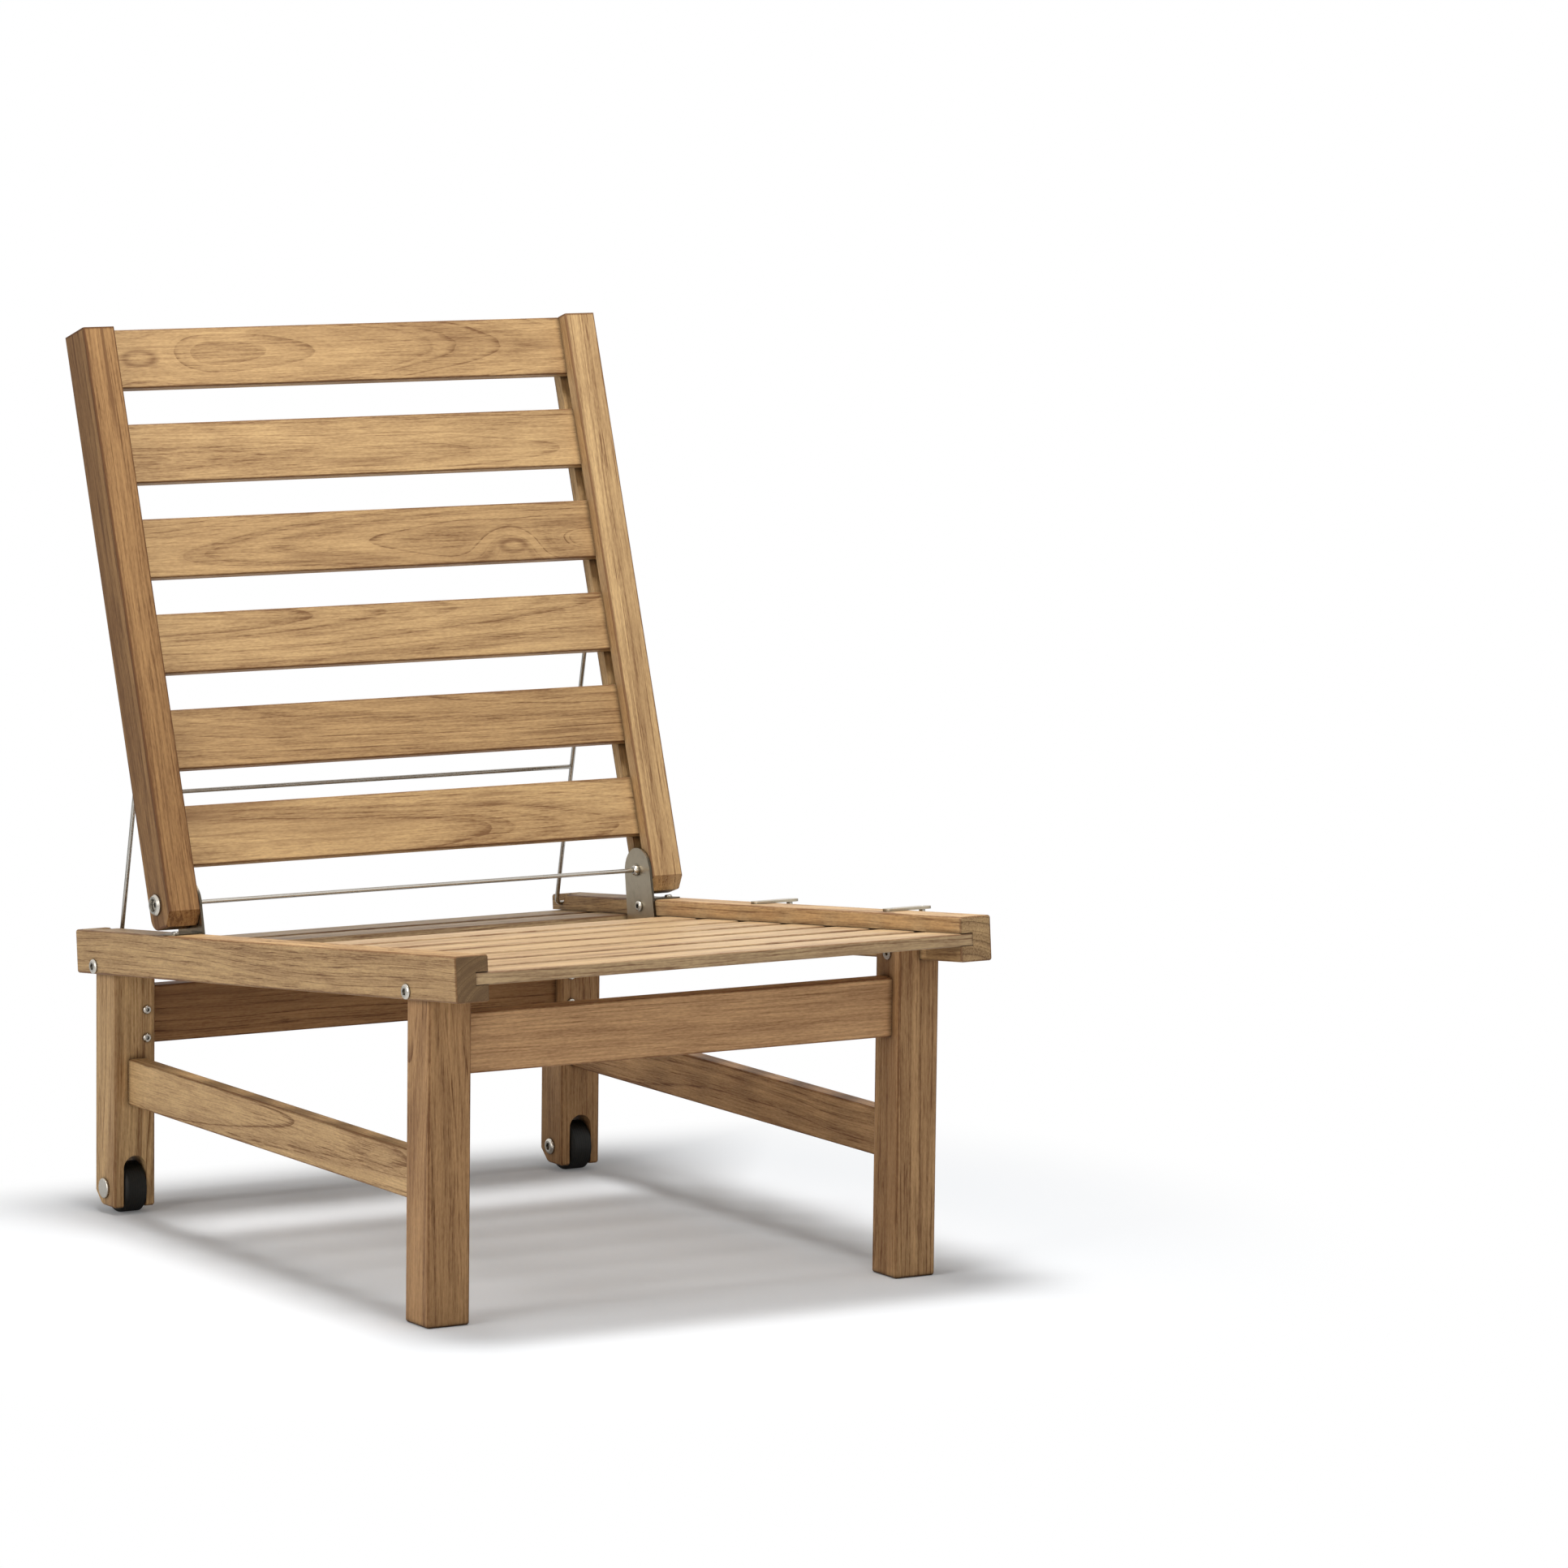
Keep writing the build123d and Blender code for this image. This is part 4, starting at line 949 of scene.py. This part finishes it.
class LOUNGE_OT_back_slats(bpy.types.Operator):
    """Finish the six back slats"""

    bl_idname = "lounge_chair.back_slats"
    bl_label = "Back slats"

    def execute(self, context):
        upper_knot = {"knot": (-0.262, 0.0, 0.008), "knot_size": 0.016}
        lower_knot = {"knot": (0.188, -0.016, 0.008), "knot_size": 0.013}
        boards = (
            {"heart": (0.08, 0.002, -0.030), "streaks": 0.30, "brown": 0.25, **upper_knot},
            {"heart": (0.03, -0.012, -0.026), "streaks": 0.40, "brown": 0.14},
            {"heart": (-0.06, -0.010, -0.030), "streaks": 0.30, "brown": 0.27, **lower_knot},
            {"heart": (0.05, 0.030, -0.022), "streaks": 0.35, "brown": 0.12},
            {"heart": (-0.04, 0.034, -0.026), "streaks": 0.50, "brown": 0.30},
            {"heart": (0.05, -0.016, -0.030), "streaks": 0.45, "brown": 0.0},
        )
        for number, board in enumerate(boards, start=1):
            teak_board(f"back_slat_{number}", BACK_SLAT_AXES, red=-0.06, coarse=0.8, **board)
        return {"FINISHED"}


class LOUNGE_OT_brackets(bpy.types.Operator):
    """Finish the hinge brackets and the link plates"""

    bl_idname = "lounge_chair.brackets"
    bl_label = "Brackets and link plates"

    def execute(self, context):
        steel = context.scene.lounge_chair.steel
        brackets = [f"hinge_bracket_{word}" for word in SIDES]
        # The brackets get painted shade on their edges that face forward or back
        steel_piece(brackets, "bracket", OFF_SEAT, steel.plate, steel.roughness, shaded_edge=EDGE_SHADE_STRENGTH)
        plates = ["link_plate_front", "link_plate_rear"]
        steel_piece(plates, "link_plate", ACROSS, steel.plate, steel.roughness)
        return {"FINISHED"}


class LOUNGE_OT_wires(bpy.types.Operator):
    """Finish the hinge rod and the prop frame"""

    bl_idname = "lounge_chair.wires"
    bl_label = "Rod and prop"

    def execute(self, context):
        steel = context.scene.lounge_chair.steel
        steel_piece(["hinge_rod", "prop_crossbar"], "rod", ACROSS, steel.bright, steel.polish)
        wires = [f"prop_wire_{word}" for word in SIDES]
        steel_piece(wires, "wire", UPRIGHT, steel.bright, steel.polish)
        return {"FINISHED"}


class LOUNGE_OT_fasteners(bpy.types.Operator):
    """Finish the bolts, screws, nuts and collars"""

    bl_idname = "lounge_chair.fasteners"
    bl_label = "Fasteners"

    def execute(self, context):
        steel = context.scene.lounge_chair.steel
        across = ["rail_bolts", "rail_sleeve_nuts", "hinge_bracket_bolts", "axle_bolts", "axle_caps"]
        across += [f"pivot_bolt_{word}" for word in SIDES]
        across += [f"rod_collar_{word}" for word in SIDES]
        steel_piece(across, "bolt", ACROSS, steel.bolt, steel.polish)
        rearward = ["front_apron_screws", "rear_apron_screws"]
        steel_piece(rearward, "apron_screw", REARWARD, steel.bolt, steel.polish)
        off_seat = ["hinge_flange_screws", "link_screws", "link_pegs"]
        steel_piece(off_seat, "plate_screw", OFF_SEAT, steel.bolt, steel.polish)
        return {"FINISHED"}


class LOUNGE_OT_wheels(bpy.types.Operator):
    """Finish the tyres and hubs"""

    bl_idname = "lounge_chair.wheels"
    bl_label = "Wheels"

    def execute(self, context):
        wheel = context.scene.lounge_chair.wheel
        tyres = [f"wheel_tyre_{word}" for word in SIDES]
        moulded_piece(tyres, "tyre", wheel.rubber, dust_share=0.05, rib=wheel.rib, depth=0.0006)
        hubs = [f"wheel_hub_{word}" for word in SIDES]
        moulded_piece(hubs, "hub", wheel.plastic, dust_share=0.15, rib=wheel.rib, depth=0.0001)
        return {"FINISHED"}


def soft_lamp(label, place, aim, size, watts):
    """Large square lamp that faces a point."""
    data = bpy.data.lights.new(label, "AREA")
    data.shape = "SQUARE"
    data.size = size
    data.energy = watts
    lamp = bpy.data.objects.new(label, data)
    lamp.location = place
    lamp.rotation_euler = (Vector(aim) - Vector(place)).to_track_quat("-Z", "Y").to_euler()
    bpy.context.scene.collection.objects.link(lamp)


# The floor's half width, its dullness, and where the camera starts to see it as plain white:
# away from the chair's middle, and behind the chair. That white is painted light where it covers
# the ends of the chair's cast shadows, above all the back's shadow behind the chair
FLOOR_HALF = 12.0
FLOOR_ROUGHNESS = 0.9
WHITE_START, WHITE_FULL = 0.55, 1.00
WHITE_BEHIND_START, WHITE_BEHIND_FULL = 0.38, 0.60

SENSOR_WIDTH = 36.0


class LOUNGE_OT_stage(bpy.types.Operator):
    """Set up the floor, the lamps, the surroundings and the camera"""

    bl_idname = "lounge_chair.stage"
    bl_label = "Studio"

    def execute(self, context):
        studio = context.scene.lounge_chair.studio
        self.lay_floor(studio)
        soft_lamp("lamp_overhead", place=(-0.2, -0.3, 3.4), aim=(0.0, 0.0, 0.2), size=1.0, watts=studio.key)
        soft_lamp("lamp_left", place=(-3.6, -0.9, 1.6), aim=(0.0, 0.0, 0.4), size=2.2, watts=studio.side)
        soft_lamp("lamp_front", place=(0.6, -3.4, 2.6), aim=(0.0, 0.0, 0.5), size=2.4, watts=studio.front)
        self.light_room(studio)
        self.place_camera(studio)
        context.scene.view_settings.view_transform = "Standard"
        return {"FINISHED"}

    def lay_floor(self, studio):
        """Wide floor that the camera sees as white where no shadow lies, and as painted white over the ends
        of the chair's shadows further off and behind it.
        """
        mesh = bpy.data.meshes.new("studio_floor")
        corners = [(x * FLOOR_HALF, y * FLOOR_HALF, 0) for x, y in ((-1, -1), (1, -1), (1, 1), (-1, 1))]
        mesh.from_pydata(corners, [], [(0, 1, 2, 3)])
        floor = bpy.data.objects.new("studio_floor", mesh)
        bpy.context.scene.collection.objects.link(floor)
        mesh.materials.append(self.floor_finish(studio))

    def floor_finish(self, studio):
        """Pale matt floor near the chair, and plain white further off and behind it, painted over the ends
        of the chair's shadows.
        """
        material, tree, surface = start_material("pale_floor")
        surface.inputs["Base Color"].default_value = solid(studio.floor)
        surface.inputs["Roughness"].default_value = FLOOR_ROUGHNESS
        surface.inputs["Specular IOR Level"].default_value = 0.0
        seen = tree.nodes.new("ShaderNodeLightPath").outputs
        lift = work_out(tree, "MULTIPLY", seen["Is Camera Ray"], studio.lift)
        glow = place_node(tree, "ShaderNodeEmission", {"Strength": lift})
        lifted = place_node(tree, "ShaderNodeAddShader", {0: surface.outputs[0], 1: glow.outputs[0]})
        place = tree.nodes.new("ShaderNodeTexCoord").outputs["Object"]
        away = measure(tree, "LENGTH", place)
        away = rise_between(tree, away, WHITE_START, WHITE_FULL)
        # Painted light: behind the chair the floor turns plain white over the back's cast shadow
        _, behind, _ = split(tree, place)
        behind = rise_between(tree, behind, WHITE_BEHIND_START, WHITE_BEHIND_FULL)
        far = work_out(tree, "MAXIMUM", away, behind)
        far_seen = work_out(tree, "MULTIPLY", far, seen["Is Camera Ray"])
        white = place_node(tree, "ShaderNodeEmission", {"Strength": 1.0})
        shaders = {0: far_seen, 1: lifted.outputs[0], 2: white.outputs[0]}
        last = place_node(tree, "ShaderNodeMixShader", shaders)
        tree.links.new(last.outputs[0], tree.nodes["Material Output"].inputs["Surface"])
        return material

    def light_room(self, studio):
        """Even light from all round, seen as white by the camera and in the steel."""
        world = bpy.data.worlds.new("studio_room")
        bpy.context.scene.world = world
        world.use_nodes = True
        tree = world.node_tree
        seen = tree.nodes.new("ShaderNodeLightPath").outputs
        white = work_out(tree, "MAXIMUM", seen["Is Camera Ray"], seen["Is Transmission Ray"])
        white = work_out(tree, "MAXIMUM", white, seen["Is Glossy Ray"])
        strength = work_out(tree, "MULTIPLY_ADD", white, 1.0 - studio.room, studio.room)
        tree.nodes["Background"].inputs["Color"].default_value = (1, 1, 1, 1)
        tree.links.new(strength, tree.nodes["Background"].inputs["Strength"])

    def place_camera(self, studio):
        """Camera at the photograph's place and angle."""
        data = bpy.data.cameras.new("camera")
        data.sensor_width = SENSOR_WIDTH
        data.lens = studio.lens
        camera = bpy.data.objects.new("camera", data)
        turn = (
            Matrix.Rotation(-studio.heading, 4, "Z")
            @ Matrix.Rotation(radians(90) - studio.dip, 4, "X")
            @ Matrix.Rotation(studio.tilt, 4, "Z")
        )
        camera.matrix_world = Matrix.Translation(Vector(studio.place)) @ turn
        bpy.context.scene.collection.objects.link(camera)
        bpy.context.scene.camera = camera


class LOUNGE_PT_panel(bpy.types.Panel):
    """Lists the chair's steps in the sidebar"""

    bl_idname = "LOUNGE_PT_panel"
    bl_label = "Lounge chair"
    bl_space_type = "VIEW_3D"
    bl_region_type = "UI"
    bl_category = "Lounge chair"

    def draw(self, context):
        column = self.layout.column(align=True)
        for step in STEPS:
            column.operator(step.bl_idname)


STEPS = (
    LOUNGE_OT_rails,
    LOUNGE_OT_seat_slats,
    LOUNGE_OT_legs,
    LOUNGE_OT_crosspieces,
    LOUNGE_OT_stiles,
    LOUNGE_OT_back_slats,
    LOUNGE_OT_brackets,
    LOUNGE_OT_wires,
    LOUNGE_OT_fasteners,
    LOUNGE_OT_wheels,
    LOUNGE_OT_stage,
)
GROUPS = (TeakSettings, SteelSettings, WheelSettings, StudioSettings, ChairSettings)
CLASSES = GROUPS + STEPS + (LOUNGE_PT_panel,)


def register():
    """Registers the settings, the operators and the panel."""
    for item in CLASSES:
        bpy.utils.register_class(item)
    bpy.types.Scene.lounge_chair = PointerProperty(type=ChairSettings)


def unregister():
    """Removes them again."""
    del bpy.types.Scene.lounge_chair
    for item in reversed(CLASSES):
        bpy.utils.unregister_class(item)


def main():
    """Builds the looks."""
    register()
    for step in STEPS:
        family, action = step.bl_idname.split(".")
        getattr(getattr(bpy.ops, family), action)()


if __name__ == "__main__":
    main()
